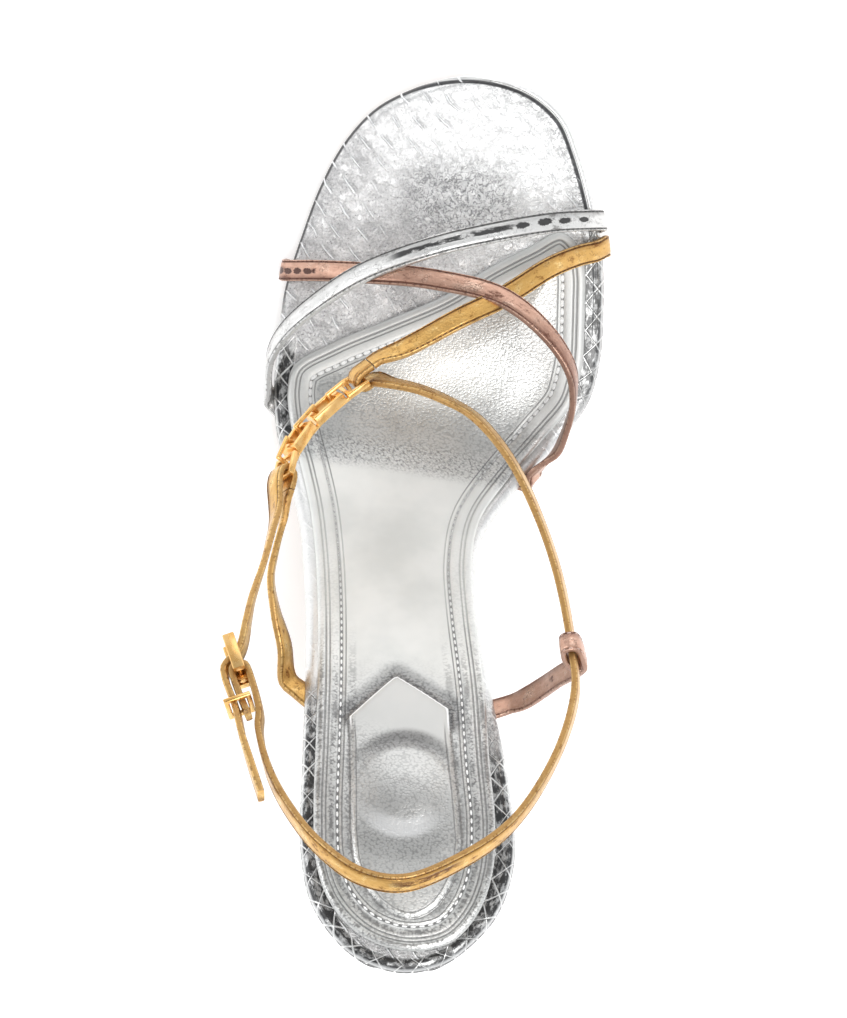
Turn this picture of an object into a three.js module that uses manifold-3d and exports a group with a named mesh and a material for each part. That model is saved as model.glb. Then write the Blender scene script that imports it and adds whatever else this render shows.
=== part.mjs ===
// Strappy heeled sandal for the left foot, in millimetres.
// +Y points to the toe, +X to the big toe's side and +Z up.
// The origin is the middle of the forefoot's flat tread, on the floor.

import * as THREE from 'three';
import Module from 'manifold-3d';

const wasm = await Module();
wasm.setup();

// Sizes of the last
const soleLength = 240;
const ballWidth = 80;
const archSlope = 45.5;
const toeSlope = 9;
const treadMiddle = 0.745;

// Sole, insole and heel
const outsoleThickness = 1.8;
const outsoleInset = 1.6;
const boardThickness = 4.2;
const boardRounding = 1.1;
const footbedThickness = 2.4;
const footbedRounding = 1.2;
const heelBreast = 0.165;
const heelInset = 1.4;
const tipWidth = 13;
const tipLength = 14;
const tipSetback = 5.5;
const tipThickness = 5;
const clearance = 0.3;

// Straps
const strapWidth = 5.2;
const strapThickness = 1.6;
const vampRise = 36;
const ankleRise = 57;
const foldRadius = 1.7;
const foldLeg = 3.5;
const tuckDepth = 7;
const tuckLift = 0.95;
const pocketClearance = 0.4;
const longestStep = 5;
const crossingOverlap = 0.25;
const seamGap = 0.3;

// Chain, made of two end rings, two box links and three jump rings
const linkWidth = 5.6;
const linkThickness = 2.8;
const linkBar = 1.6;
const linkSideBar = 1.1;
const frontLinkLength = 9.4;
const rearLinkLength = 8.8;
const ringLength = 6.2;
const ringThickness = 1.6;
const ringBar = 1;
const jumpRingWire = 1;
const jumpRingClearance = 0.35;
const chainLean = 30;

// Buckle
const buckleLength = 9.6;
const buckleWidth = 9.8;
const buckleSide = 1.7;
const buckleThickness = 2.8;
const buckleBar = 1.7;
const rodRadius = 0.8;
const prongWidth = 1.3;
const prongThickness = 1;
const keeperWire = 1.2;
const keeperDistance = 8;
const edgeBevel = 0.2;

const boardTop = outsoleThickness + clearance + boardThickness;
const outsoleTop = -boardThickness - clearance;
const hookRadius = rodRadius + clearance + strapThickness / 2;
const ringWidth = strapWidth + 2 * (linkSideBar + clearance);

// Slope of the insole's top, heel to toe: shares of the arch's and the toe's slope
const slopeRows = [
  { at: 0.0, arch: 0.37, toe: 0 },
  { at: 0.1, arch: 0.44, toe: 0 },
  { at: 0.2, arch: 0.62, toe: 0 },
  { at: 0.3, arch: 0.86, toe: 0 },
  { at: 0.4, arch: 1.0, toe: 0 },
  { at: 0.5, arch: 0.99, toe: 0 },
  { at: 0.58, arch: 0.75, toe: 0 },
  { at: 0.64, arch: 0.34, toe: 0 },
  { at: 0.7, arch: 0.0, toe: 0 },
  { at: 0.79, arch: 0.0, toe: 0 },
  { at: 1.0, arch: 0.0, toe: 1 },
];

// Insole outline: "at" is a share of the sole's length, both sides are shares of the ball width
const boardRows = [
  { at: 0.01, lateral: -0.094, medial: 0.15 },
  { at: 0.03, lateral: -0.172, medial: 0.225 },
  { at: 0.065, lateral: -0.248, medial: 0.302 },
  { at: 0.12, lateral: -0.29, medial: 0.34 },
  { at: 0.2, lateral: -0.302, medial: 0.309 },
  { at: 0.3, lateral: -0.314, medial: 0.244 },
  { at: 0.4, lateral: -0.334, medial: 0.185 },
  { at: 0.46, lateral: -0.353, medial: 0.165 },
  { at: 0.52, lateral: -0.378, medial: 0.18 },
  { at: 0.575, lateral: -0.42, medial: 0.26 },
  { at: 0.625, lateral: -0.47, medial: 0.37 },
  { at: 0.675, lateral: -0.49, medial: 0.472 },
  { at: 0.72, lateral: -0.484, medial: 0.501 },
  { at: 0.77, lateral: -0.475, medial: 0.502 },
  { at: 0.83, lateral: -0.43, medial: 0.487 },
  { at: 0.88, lateral: -0.382, medial: 0.451 },
  { at: 0.925, lateral: -0.316, medial: 0.405 },
  { at: 0.96, lateral: -0.228, medial: 0.355 },
  { at: 0.982, lateral: -0.118, medial: 0.285 },
  { at: 0.995, lateral: -0.01, medial: 0.203 },
];
const boardEnds = { heel: { at: 0, across: 0.035 }, toe: { at: 1, across: 0.09 } };

// Footbed outline: its front edge runs slantwise over the ball
const footbedRows = [
  { at: 0.03, lateral: -0.085, medial: 0.17 },
  { at: 0.06, lateral: -0.185, medial: 0.243 },
  { at: 0.1, lateral: -0.238, medial: 0.278 },
  { at: 0.15, lateral: -0.257, medial: 0.278 },
  { at: 0.22, lateral: -0.266, medial: 0.248 },
  { at: 0.3, lateral: -0.277, medial: 0.218 },
  { at: 0.4, lateral: -0.298, medial: 0.172 },
  { at: 0.47, lateral: -0.32, medial: 0.152 },
  { at: 0.53, lateral: -0.348, medial: 0.168 },
  { at: 0.58, lateral: -0.385, medial: 0.238 },
  { at: 0.63, lateral: -0.428, medial: 0.338 },
  { at: 0.67, lateral: -0.446, medial: 0.42 },
  { at: 0.695, lateral: -0.43, medial: 0.44 },
  { at: 0.72, lateral: -0.318, medial: 0.449 },
  { at: 0.747, lateral: -0.152, medial: 0.448 },
  { at: 0.776, lateral: 0.021, medial: 0.445 },
  { at: 0.805, lateral: 0.143, medial: 0.44 },
  { at: 0.83, lateral: 0.268, medial: 0.42 },
];
const footbedEnds = { heel: { at: 0.019, across: 0.045 }, toe: { at: 0.846, across: 0.36 } };

// Heel, floor to seat: "flare" runs from the tip's outline to the seat's outline
const heelRows = [
  { up: 0, flare: 0 },
  { up: 0.25, flare: 0.03 },
  { up: 0.5, flare: 0.1 },
  { up: 0.7, flare: 0.22 },
  { up: 0.83, flare: 0.42 },
  { up: 0.92, flare: 0.68 },
  { up: 0.97, flare: 0.86 },
  { up: 1, flare: 1 },
];

// Strap routes. "along" is a share of the plan length from the heel, "across" of the ball width and
// "above" of the rise over the insole. "turn" leans the strap's face from straight up to the medial
// side, "pitch" leans it forward; "heading" and "lean" aim the face of a strap that stands on edge.
// "stacked" counts the straps that lie under this one, where they are joined.
const silverRoute = [
  { along: 0.842, across: 0.435, above: 0.18, turn: 62, pitch: 8 },
  { along: 0.836, across: 0.325, above: 0.38, turn: 42, pitch: 12 },
  { along: 0.819, across: 0.146, above: 0.59, turn: 18, pitch: 18 },
  { along: 0.799, across: -0.025, above: 0.69, turn: 0, pitch: 20 },
  { along: 0.766, across: -0.228, above: 0.555, turn: -24, pitch: 18, stacked: 1 },
  { along: 0.729, across: -0.368, above: 0.45, turn: -48, pitch: 16 },
  { along: 0.696, across: -0.458, above: 0.32, turn: -66, pitch: 8 },
  { along: 0.664, across: -0.503, above: 0.14, turn: -80, pitch: 0 },
];
const roseRoute = [
  { along: 0.765, across: -0.478, above: 0.1, turn: -68, pitch: 0 },
  { along: 0.766, across: -0.377, above: 0.34, turn: -46, pitch: 6 },
  { along: 0.766, across: -0.228, above: 0.555, turn: -24, pitch: 16 },
  { along: 0.763, across: -0.019, above: 0.69, turn: 0, pitch: 22 },
  { along: 0.747, across: 0.198, above: 0.705, turn: 24, pitch: 22, stacked: 1 },
  { along: 0.709, across: 0.34, above: 0.74, turn: 50, pitch: 20 },
  { along: 0.669, across: 0.416, above: 0.68, turn: 72, pitch: 10 },
  { along: 0.633, across: 0.428, above: 0.52, turn: 86, pitch: 0 },
  { along: 0.603, across: 0.412, above: 0.34, turn: 88, pitch: 0 },
  { along: 0.576, across: 0.384, above: 0.14, turn: 88, pitch: 0 },
];
const goldRoute = [
  { along: 0.808, across: 0.472, above: 0.12, turn: 66, pitch: 8 },
  { along: 0.8, across: 0.412, above: 0.27, turn: 54, pitch: 12 },
  { along: 0.783, across: 0.327, above: 0.49, turn: 42, pitch: 16 },
  { along: 0.747, across: 0.198, above: 0.705, turn: 24, pitch: 20 },
  { along: 0.721, across: 0.077, above: 0.85, turn: 10, pitch: 26 },
  { along: 0.682, across: -0.091, above: 0.931, turn: -10, pitch: 34 },
];
const ankleRoute = [
  { along: 0.643, across: -0.126, above: 0.679, heading: 0, lean: 18 },
  { along: 0.638, across: -0.037, above: 0.747, heading: 10, lean: 16 },
  { along: 0.627, across: 0.053, above: 0.828, heading: 20, lean: 15 },
  { along: 0.61, across: 0.143, above: 0.9, heading: 34, lean: 14 },
  { along: 0.564, across: 0.259, above: 0.989, heading: 54, lean: 12 },
  { along: 0.499, across: 0.357, above: 0.981, heading: 64, lean: 10 },
  { along: 0.437, across: 0.423, above: 0.909, heading: 70, lean: 10 },
  { along: 0.362, across: 0.473, above: 0.82, heading: 80, lean: 10 },
  { along: 0.318, across: 0.489, above: 0.796, heading: 90, lean: 10 },
  { along: 0.248, across: 0.443, above: 0.824, heading: 112, lean: 14 },
  { along: 0.177, across: 0.331, above: 0.897, heading: 132, lean: 26 },
  { along: 0.137, across: 0.194, above: 0.959, heading: 150, lean: 40 },
  { along: 0.111, across: 0.035, above: 1.012, heading: 172, lean: 48 },
  { along: 0.116, across: -0.089, above: 1.0, heading: 198, lean: 46 },
  { along: 0.143, across: -0.21, above: 0.968, heading: 225, lean: 36 },
  { along: 0.177, across: -0.302, above: 0.897, heading: 240, lean: 24 },
  { along: 0.214, across: -0.37, above: 0.823, heading: 248, lean: 14 },
];
const medialLoopRow = 7;
const medialAnchorRoute = [
  { along: 0.301, across: 0.339, above: 0.041, turn: 136, pitch: 0 },
  { along: 0.314, across: 0.386, above: 0.173, turn: 124, pitch: 0 },
  { along: 0.33, across: 0.436, above: 0.41, turn: 110, pitch: 0 },
];
const lateralAnchorRoute = [
  { along: 0.482, across: -0.41, above: 0.575, turn: -80, pitch: 0 },
  { along: 0.451, across: -0.424, above: 0.495, turn: -88, pitch: 0 },
  { along: 0.418, across: -0.434, above: 0.395, turn: -93, pitch: 0 },
  { along: 0.38, across: -0.413, above: 0.269, turn: -101, pitch: 0 },
  { along: 0.343, across: -0.382, above: 0.118, turn: -116, pitch: 0 },
];
const buckleStrapRoute = [
  { along: 0.491, across: -0.429, above: 0.725, heading: 268, lean: 34 },
  { along: 0.468, across: -0.435, above: 0.755, heading: 268, lean: 26 },
  { along: 0.436, across: -0.447, above: 0.786, heading: 266, lean: 20 },
  { along: 0.397, across: -0.469, above: 0.8, heading: 262, lean: 16 },
];
const tailRoute = [
  { along: 0.249, across: -0.456, above: 0.815, heading: 246, lean: 10 },
  { along: 0.22, across: -0.423, above: 0.836, heading: 246, lean: 14 },
  { along: 0.191, across: -0.389, above: 0.857, heading: 244, lean: 16 },
];

// Where each strap end goes under the insole's edge; "drift" is its travel along the edge, toward
// the toe, for each millimetre down
const tucks = {
  silverMedial: { side: 'medial', at: 0.859, drift: -0.1, upright: true },
  silverLateral: { side: 'lateral', at: 0.672, drift: -0.8, upright: true },
  roseLateral: { side: 'lateral', at: 0.791, drift: 0, upright: true },
  roseMedial: { side: 'medial', at: 0.598, drift: -0.4, upright: true },
  goldMedial: { side: 'medial', at: 0.834, drift: -0.1, upright: true },
  anchorMedial: { side: 'medial', at: 0.294, drift: -0.15, upright: false },
  anchorLateral: { side: 'lateral', at: 0.312, drift: -0.9, upright: false },
};

// Chain pieces from front to rear: "heading" and "climb" aim their length
const chainStart = { along: 0.647, across: -0.2025, above: 0.98 };
const chainRows = [
  { name: 'front_ring', heading: -130, climb: 10 },
  { name: 'chain_link_front', heading: -136, climb: 16 },
  { name: 'chain_link_rear', heading: -151, climb: 34 },
  { name: 'rear_ring', heading: -172, climb: 32 },
];

// Place and aim of the buckle
const bucklePlace = { along: 0.33, across: -0.496, above: 0.79 };
const buckleAim = { heading: 156, climb: 32, lean: 4 };

const colours = {
  silver: 0xc9c9c8,
  silverSmooth: 0xd6d6d4,
  rose: 0xb98d7c,
  gold: 0xd3ab6e,
  metal: 0xe0b065,
  sole: 0xb9a58b,
  tip: 0x4a443f,
};

// Value of one column at a share of the length, straight between the rows
function readRow(rows, at, column) {
  const last = rows.length - 1;
  if (at <= rows[0].at) return rows[0][column];
  if (at >= rows[last].at) return rows[last][column];
  const next = rows.findIndex((row) => row.at > at);
  const mix = (at - rows[next - 1].at) / (rows[next].at - rows[next - 1].at);
  return THREE.MathUtils.lerp(rows[next - 1][column], rows[next][column], mix);
}

// Side view of the insole's top, integrated from its slope
const lineSteps = 480;

function slopeAt(at) {
  return THREE.MathUtils.degToRad(
    archSlope * readRow(slopeRows, at, 'arch') - toeSlope * readRow(slopeRows, at, 'toe'));
}

function integrateSoleLine() {
  const line = [{ y: 0, z: 0 }];
  const step = soleLength / lineSteps;
  for (let i = 0; i < lineSteps; i++) {
    const slope = slopeAt((i + 0.5) / lineSteps);
    line.push({
      y: line[i].y + Math.cos(slope) * step,
      z: line[i].z - Math.sin(slope) * step,
    });
  }
  const middle = line[Math.round(treadMiddle * lineSteps)];
  return line.map((point) => ({ y: point.y - middle.y, z: point.z - middle.z + boardTop }));
}

const soleLine = integrateSoleLine();
const heelBack = soleLine[0].y;
const planLength = soleLine[lineSteps].y - heelBack;

// Point over the insole's top at a length, a place across and a lift along its normal
function solePoint(length, across, lift) {
  const at = THREE.MathUtils.clamp(length / soleLength, 0, 1);
  const i = Math.min(Math.floor(at * lineSteps), lineSteps - 1);
  const mix = at * lineSteps - i;
  const slope = slopeAt(at);
  const beyond = length - at * soleLength;
  const y = THREE.MathUtils.lerp(soleLine[i].y, soleLine[i + 1].y, mix);
  const z = THREE.MathUtils.lerp(soleLine[i].z, soleLine[i + 1].z, mix);
  return new THREE.Vector3(
    across,
    y + beyond * Math.cos(slope) + lift * Math.sin(slope),
    z - beyond * Math.sin(slope) + lift * Math.cos(slope));
}

function soleHeight(y) {
  const next = soleLine.findIndex((point) => point.y > y);
  const from = soleLine[next - 1];
  const to = soleLine[next];
  return THREE.MathUtils.lerp(from.z, to.z, (y - from.y) / (to.y - from.y));
}

// Both sides of an outline, as fine polylines from heel to toe with their outward normals
const sideSteps = 400;

function outlineSides(rows, ends) {
  const place = (at, across) => new THREE.Vector3(across * ballWidth, at * soleLength, 0);
  const points = [
    place(ends.heel.at, ends.heel.across),
    ...rows.map((row) => place(row.at, row.lateral)),
    place(ends.toe.at, ends.toe.across),
    ...rows.map((row) => place(row.at, row.medial)).reverse(),
  ];
  const curve = new THREE.CatmullRomCurve3(points, true, 'centripetal');
  const sample = (t) => {
    const point = curve.getPoint(t);
    const tangent = curve.getTangent(t);
    return { across: point.x, length: point.y, normal: { across: -tangent.y, length: tangent.x } };
  };
  const lateral = [];
  const medial = [];
  for (let i = 0; i <= sideSteps; i++) {
    lateral.push(sample((0.5 * i) / sideSteps));
    medial.push(sample(1 - (0.5 * i) / sideSteps));
  }
  return { lateral, medial };
}

function sideAt(side, length) {
  let next = side.findIndex((point) => point.length > length);
  if (next < 1) next = length <= side[0].length ? 1 : side.length - 1;
  const from = side[next - 1];
  const to = side[next];
  const mix = THREE.MathUtils.clamp((length - from.length) / (to.length - from.length), 0, 1);
  return {
    across: THREE.MathUtils.lerp(from.across, to.across, mix),
    length: THREE.MathUtils.lerp(from.length, to.length, mix),
    normal: {
      across: THREE.MathUtils.lerp(from.normal.across, to.normal.across, mix),
      length: THREE.MathUtils.lerp(from.normal.length, to.normal.length, mix),
    },
  };
}

const boardSides = outlineSides(boardRows, boardEnds);
const footbedSides = outlineSides(footbedRows, footbedEnds);

// Loop round an outline: one end, the lateral side, the other end, the medial side backwards
const plateStations = 60;

function outlineLoop(sides, inset, from = 0) {
  const first = Math.max(sides.lateral[0].length, from * soleLength);
  const last = sides.lateral[sideSteps].length;
  const inward = (point) => ({
    across: point.across - inset * point.normal.across,
    length: point.length - inset * point.normal.length,
  });
  const lateral = [];
  const medial = [];
  for (let i = 1; i < plateStations; i++) {
    const share = (1 - Math.cos((Math.PI * i) / plateStations)) / 2;
    const length = THREE.MathUtils.lerp(first, last, share);
    lateral.push(inward(sideAt(sides.lateral, length)));
    medial.unshift(inward(sideAt(sides.medial, length)));
  }
  const toe = { across: sides.lateral[sideSteps].across, length: last - inset };
  const cut = from > 0;
  const back = cut
    ? { across: (lateral[0].across + medial[medial.length - 1].across) / 2, length: first }
    : { across: sides.lateral[0].across, length: first + inset };
  return [back, ...lateral, toe, ...medial];
}

// Closed solid through loops with equal point counts, its ends closed by rungs across the loop
function loftSolid(loops) {
  const count = loops[0].length;
  const points = loops.flat();
  const triangles = [];
  for (let j = 0; j + 1 < loops.length; j++) {
    for (let i = 0; i < count; i++) {
      const a = j * count + i;
      const b = j * count + ((i + 1) % count);
      triangles.push([a, b, b + count], [a, b + count, a + count]);
    }
  }
  const top = (loops.length - 1) * count;
  for (const [base, flip] of [[0, true], [top, false]]) {
    const face = (a, b, c) => triangles.push(flip ? [base + a, base + c, base + b]
      : [base + a, base + b, base + c]);
    face(0, 1, count - 1);
    for (let i = 1; i < count / 2 - 1; i++) {
      face(i, i + 1, count - i - 1);
      face(i, count - i - 1, count - i);
    }
    face(count / 2 - 1, count / 2, count / 2 + 1);
  }
  return solidFrom(points, triangles);
}

function solidFrom(points, triangles) {
  let volume = 0;
  const cross = new THREE.Vector3();
  for (const [a, b, c] of triangles) {
    volume += points[a].dot(cross.crossVectors(points[b], points[c]));
  }
  const outward = volume > 0 ? triangles : triangles.map(([a, b, c]) => [a, c, b]);
  return new wasm.Manifold(new wasm.Mesh({
    numProp: 3,
    vertProperties: new Float32Array(points.flatMap((point) => point.toArray())),
    triVerts: new Uint32Array(outward.flat()),
  }));
}

// Solid of a three.js geometry, placed by a matrix
function geometrySolid(geometry, matrix) {
  const placed = geometry.clone().applyMatrix4(matrix);
  const position = placed.getAttribute('position');
  const found = new Map();
  const points = [];
  const indexOf = (i) => {
    const point = new THREE.Vector3().fromBufferAttribute(position, i);
    const key = point.toArray().map((value) => value.toFixed(4)).join(' ');
    if (!found.has(key)) {
      found.set(key, points.length);
      points.push(point);
    }
    return found.get(key);
  };
  const order = placed.index ? Array.from(placed.index.array) : [...Array(position.count).keys()];
  const triangles = [];
  for (let i = 0; i < order.length; i += 3) {
    const corners = [indexOf(order[i]), indexOf(order[i + 1]), indexOf(order[i + 2])];
    if (new Set(corners).size === 3) triangles.push(corners);
  }
  return solidFrom(points, triangles);
}

function plateSolid(sides, layers, from = 0) {
  return loftSolid(layers.map(({ lift, inset }) => outlineLoop(sides, inset, from).map(
    (point) => solePoint(point.length, point.across, lift))));
}

// Straps: a route is a list of stations, each with a point and the way that its face looks
function footPoint({ along, across, above, stacked = 0 }, rise) {
  const y = heelBack + along * planLength;
  const lift = above * rise + stacked * (strapThickness - crossingOverlap);
  return new THREE.Vector3(across * ballWidth, y, soleHeight(y) + lift);
}

function topFacing({ turn, pitch }) {
  const t = THREE.MathUtils.degToRad(turn);
  const p = THREE.MathUtils.degToRad(pitch);
  return new THREE.Vector3(Math.sin(t), Math.sin(p) * Math.cos(t), Math.cos(p) * Math.cos(t));
}

function aim(heading, climb) {
  const h = THREE.MathUtils.degToRad(heading);
  const c = THREE.MathUtils.degToRad(climb);
  return new THREE.Vector3(Math.sin(h) * Math.cos(c), Math.cos(h) * Math.cos(c), Math.sin(c));
}

function routeStations(rows, rise) {
  return rows.map((row) => ({
    point: footPoint(row, rise),
    facing: 'turn' in row ? topFacing(row) : aim(row.heading, row.lean),
  }));
}

// Frames along a strap: point, tangent, face and width direction
function strapFrames(stations) {
  const curve = new THREE.CatmullRomCurve3(
    stations.map((station) => station.point), false, 'centripetal');
  const spans = stations.length - 1;
  const frames = [];
  const addFrame = (k, mix) => {
    const share = (k + mix) / spans;
    const tangent = curve.getTangent(share);
    const facing = stations[k].facing.clone();
    if (mix > 0) facing.lerp(stations[k + 1].facing, mix);
    facing.addScaledVector(tangent, -facing.dot(tangent)).normalize();
    frames.push({
      point: curve.getPoint(share), tangent, facing, across: tangent.clone().cross(facing),
    });
  };
  for (let k = 0; k < spans; k++) {
    const length = stations[k].point.distanceTo(stations[k + 1].point);
    const steps = Math.ceil(length / longestStep);
    for (let i = 0; i < steps; i++) addFrame(k, i / steps);
  }
  addFrame(spans, 0);
  return frames;
}

// Band with chamfered edges along a route
const bandChamfer = 0.25;

function bandSolid(stations, width = strapWidth, thickness = strapThickness) {
  const half = { w: width / 2, t: thickness / 2 };
  const cut = bandChamfer * thickness;
  const corners = [
    [half.w, half.t - cut], [half.w - cut, half.t], [cut - half.w, half.t], [-half.w, half.t - cut],
    [-half.w, cut - half.t], [cut - half.w, -half.t], [half.w - cut, -half.t], [half.w, cut - half.t],
  ];
  return loftSolid(strapFrames(stations).map((frame) => corners.map(([w, t]) =>
    frame.point.clone().addScaledVector(frame.across, w).addScaledVector(frame.facing, t))));
}

// Stations of a strap end that goes round the insole's edge and in under it, innermost first.
// "out" is measured from the edge and "lift" from the insole's top.
function tuckStations({ side, at, drift, upright }) {
  const edge = sideAt(boardSides[side], at * soleLength);
  const sideOut = clearance + pocketClearance / 4 + strapThickness / 2;
  const underLift = -boardThickness + tuckLift;
  const arcOut = sideOut - foldRadius;
  const rows = [
    { out: arcOut - tuckDepth, lift: underLift, face: -90 },
    { out: arcOut - tuckDepth / 2, lift: underLift, face: -90 },
    { out: arcOut, lift: underLift, face: -90 },
  ];
  if (upright) {
    const arc = THREE.MathUtils.degToRad(45);
    rows.push(
      {
        out: arcOut + foldRadius * Math.sin(arc),
        lift: underLift + foldRadius * (1 - Math.cos(arc)),
        face: -45,
      },
      { out: sideOut, lift: underLift + foldRadius, face: 0 });
  } else {
    rows.push(
      { out: sideOut, lift: underLift + clearance / 2, face: -85 },
      { out: 2 * sideOut + foldRadius, lift: underLift + 2 * clearance, face: -72 });
  }
  const whole = rows.length;
  if (upright) rows.push({ out: sideOut, lift: 0, face: 0 });
  let travel = 0;
  const stations = [];
  for (let i = rows.length - 1; i >= 0; i--) {
    const row = rows[i];
    const next = rows[Math.min(i + 1, rows.length - 1)];
    travel += Math.hypot(row.out - next.out, row.lift - next.lift);
    const face = THREE.MathUtils.degToRad(row.face);
    const length = edge.length + row.out * edge.normal.length + drift * travel;
    const across = edge.across + row.out * edge.normal.across;
    const point = solePoint(length, across, row.lift);
    const outward = solePoint(length + edge.normal.length, across + edge.normal.across, row.lift)
      .sub(point).normalize();
    const up = solePoint(length, across, row.lift + 1).sub(point).normalize();
    stations.unshift({
      point,
      facing: outward.multiplyScalar(Math.cos(face)).addScaledVector(up, Math.sin(face)),
    });
  }
  return { stations, pocket: stations.slice(0, whole) };
}

function pocketSolid({ pocket }) {
  const beyond = pocket[0].point.clone().sub(pocket[1].point).setLength(clearance);
  const deeper = { point: pocket[0].point.clone().add(beyond), facing: pocket[0].facing };
  return bandSolid([deeper, ...pocket.slice(1)], strapWidth + 2 * pocketClearance,
    strapThickness + 2 * pocketClearance);
}

// Box frame of a chain piece or buckle, its length along x, its width along y
function frameShape(length, width, endBar, sideBar) {
  const rectangle = (path, l, w) => {
    path.moveTo(-l / 2, -w / 2);
    path.lineTo(l / 2, -w / 2);
    path.lineTo(l / 2, w / 2);
    path.lineTo(-l / 2, w / 2);
    path.closePath();
    return path;
  };
  const shape = rectangle(new THREE.Shape(), length, width);
  shape.holes.push(rectangle(new THREE.Path(), length - 2 * endBar, width - 2 * sideBar));
  return shape;
}

function extrudeCentred(shape, depth) {
  const geometry = new THREE.ExtrudeGeometry(shape, {
    depth: depth - 2 * edgeBevel,
    bevelEnabled: true,
    bevelSegments: 1,
    bevelSize: edgeBevel,
    bevelOffset: -edgeBevel,
    bevelThickness: edgeBevel,
    curveSegments: 6,
  });
  return geometry.translate(0, 0, edgeBevel - depth / 2);
}

// Directions of a hard piece: its length, its width (upward) and its outer face
function pieceAxes({ heading, climb, lean }) {
  const length = aim(heading, climb);
  const side = length.clone().cross(new THREE.Vector3(0, 0, 1)).normalize();
  const up = side.clone().cross(length);
  const tilt = THREE.MathUtils.degToRad(lean);
  const face = side.clone().multiplyScalar(Math.cos(tilt)).addScaledVector(up, Math.sin(tilt));
  const width = up.clone().multiplyScalar(Math.cos(tilt)).addScaledVector(side, -Math.sin(tilt));
  return { length, width, face };
}

function placeMatrix(x, y, z, origin) {
  return new THREE.Matrix4().makeBasis(x, y, z).setPosition(origin);
}

function offsetPoint(origin, axes, along, out) {
  return origin.clone().addScaledVector(axes.length, along).addScaledVector(axes.face, out);
}

// Strap end folded round a bar. The strap comes in on the "from" side of the bar, the fold lies
// toward "ahead", and the facing looks to the bar.
function hookStations(bar, axes, ahead, from, radius, legs) {
  const stations = [];
  const add = (along, out, angle) => {
    const turn = THREE.MathUtils.degToRad(angle);
    stations.push({
      point: offsetPoint(bar, axes, ahead * along, from * out),
      facing: axes.length.clone().multiplyScalar(-ahead * Math.cos(turn))
        .addScaledVector(axes.face, -from * Math.sin(turn)),
    });
  };
  add(-legs.incoming, radius, 90);
  add(0, radius, 90);
  for (const angle of [60, 30, 0, -30, -60]) {
    const turn = THREE.MathUtils.degToRad(angle);
    add(radius * Math.cos(turn), radius * Math.sin(turn), angle);
  }
  add(0, -radius, -90);
  add(-legs.outgoing, -radius, -90);
  return stations;
}

// Chain pieces end to end, and the jump rings that hold two neighbours together
function chainLayout() {
  const lengths = {
    front_ring: ringLength, chain_link_front: frontLinkLength,
    chain_link_rear: rearLinkLength, rear_ring: ringLength,
  };
  const pieces = [];
  let start = footPoint(chainStart, vampRise);
  for (const row of chainRows) {
    const axes = pieceAxes({ ...row, lean: chainLean });
    const ring = row.name.endsWith('ring');
    const length = lengths[row.name];
    if (pieces.length > 0) {
      const before = pieces[pieces.length - 1].axes.length;
      const gap = clearance + ringWidth * Math.tan(before.angleTo(axes.length) / 2);
      start = start.addScaledVector(before, gap / 2).addScaledVector(axes.length, gap / 2);
    }
    pieces.push({
      name: row.name,
      axes,
      length,
      width: ring ? ringWidth : linkWidth,
      thickness: ring ? ringThickness : linkThickness,
      bar: ring ? ringBar : linkBar,
      centre: start.clone().addScaledVector(axes.length, length / 2),
    });
    start = start.clone().addScaledVector(axes.length, length);
  }
  return pieces;
}

function chainPieceSolid(piece) {
  const shape = frameShape(piece.length, piece.width, piece.bar, linkSideBar);
  return geometrySolid(extrudeCentred(shape, piece.thickness),
    placeMatrix(piece.axes.length, piece.axes.width, piece.axes.face, piece.centre));
}

function jumpRingSolid(front, rear) {
  const end = offsetPoint(front.centre, front.axes, front.length / 2, 0);
  const start = offsetPoint(rear.centre, rear.axes, -rear.length / 2, 0);
  const length = front.axes.length.clone().add(rear.axes.length).normalize();
  const width = front.axes.width.clone().add(rear.axes.width);
  width.addScaledVector(length, -width.dot(length)).normalize();
  const back = length.clone().cross(width).negate();
  const inside = {
    length: front.bar + rear.bar + end.distanceTo(start) + 2 * jumpRingClearance,
    width: Math.max(front.thickness, rear.thickness) + 2 * jumpRingClearance,
  };
  const middle = end.clone().addScaledVector(length, (rear.bar - front.bar) / 2)
    .lerp(start.clone().addScaledVector(length, (rear.bar - front.bar) / 2), 0.5);
  const shape = frameShape(inside.length + 2 * jumpRingWire, inside.width + 2 * jumpRingWire,
    jumpRingWire, jumpRingWire);
  return geometrySolid(extrudeCentred(shape, jumpRingWire),
    placeMatrix(length, back, width, middle));
}

const chain = chainLayout();
const frontRing = chain[0];
const rearRing = chain[3];
const ringHookRadius = ringThickness / 2 + clearance + strapThickness / 2;

// Bars that the straps fold round
const frontBar = offsetPoint(frontRing.centre, frontRing.axes, (ringBar - ringLength) / 2, 0);
const rearBar = offsetPoint(rearRing.centre, rearRing.axes, (ringLength - ringBar) / 2, 0);
const ringLegs = { incoming: 2, outgoing: foldLeg };

// Buckle: two side slabs, a front bar and a round rear rod
const buckle = {
  axes: pieceAxes(buckleAim),
  centre: footPoint(bucklePlace, ankleRise),
};
const rodPlace = buckleLength / 2 - rodRadius - clearance;
const frontBarPlace = -buckleLength / 2 + buckleBar / 2 + edgeBevel;

function bucklePoint(along, out) {
  return offsetPoint(buckle.centre, buckle.axes, along, out);
}

function buckleBox(length, width, thickness, along, across, out) {
  const origin = bucklePoint(along, out).addScaledVector(buckle.axes.width, across);
  return geometrySolid(new THREE.BoxGeometry(length, width, thickness),
    placeMatrix(buckle.axes.length, buckle.axes.width, buckle.axes.face, origin));
}

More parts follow.
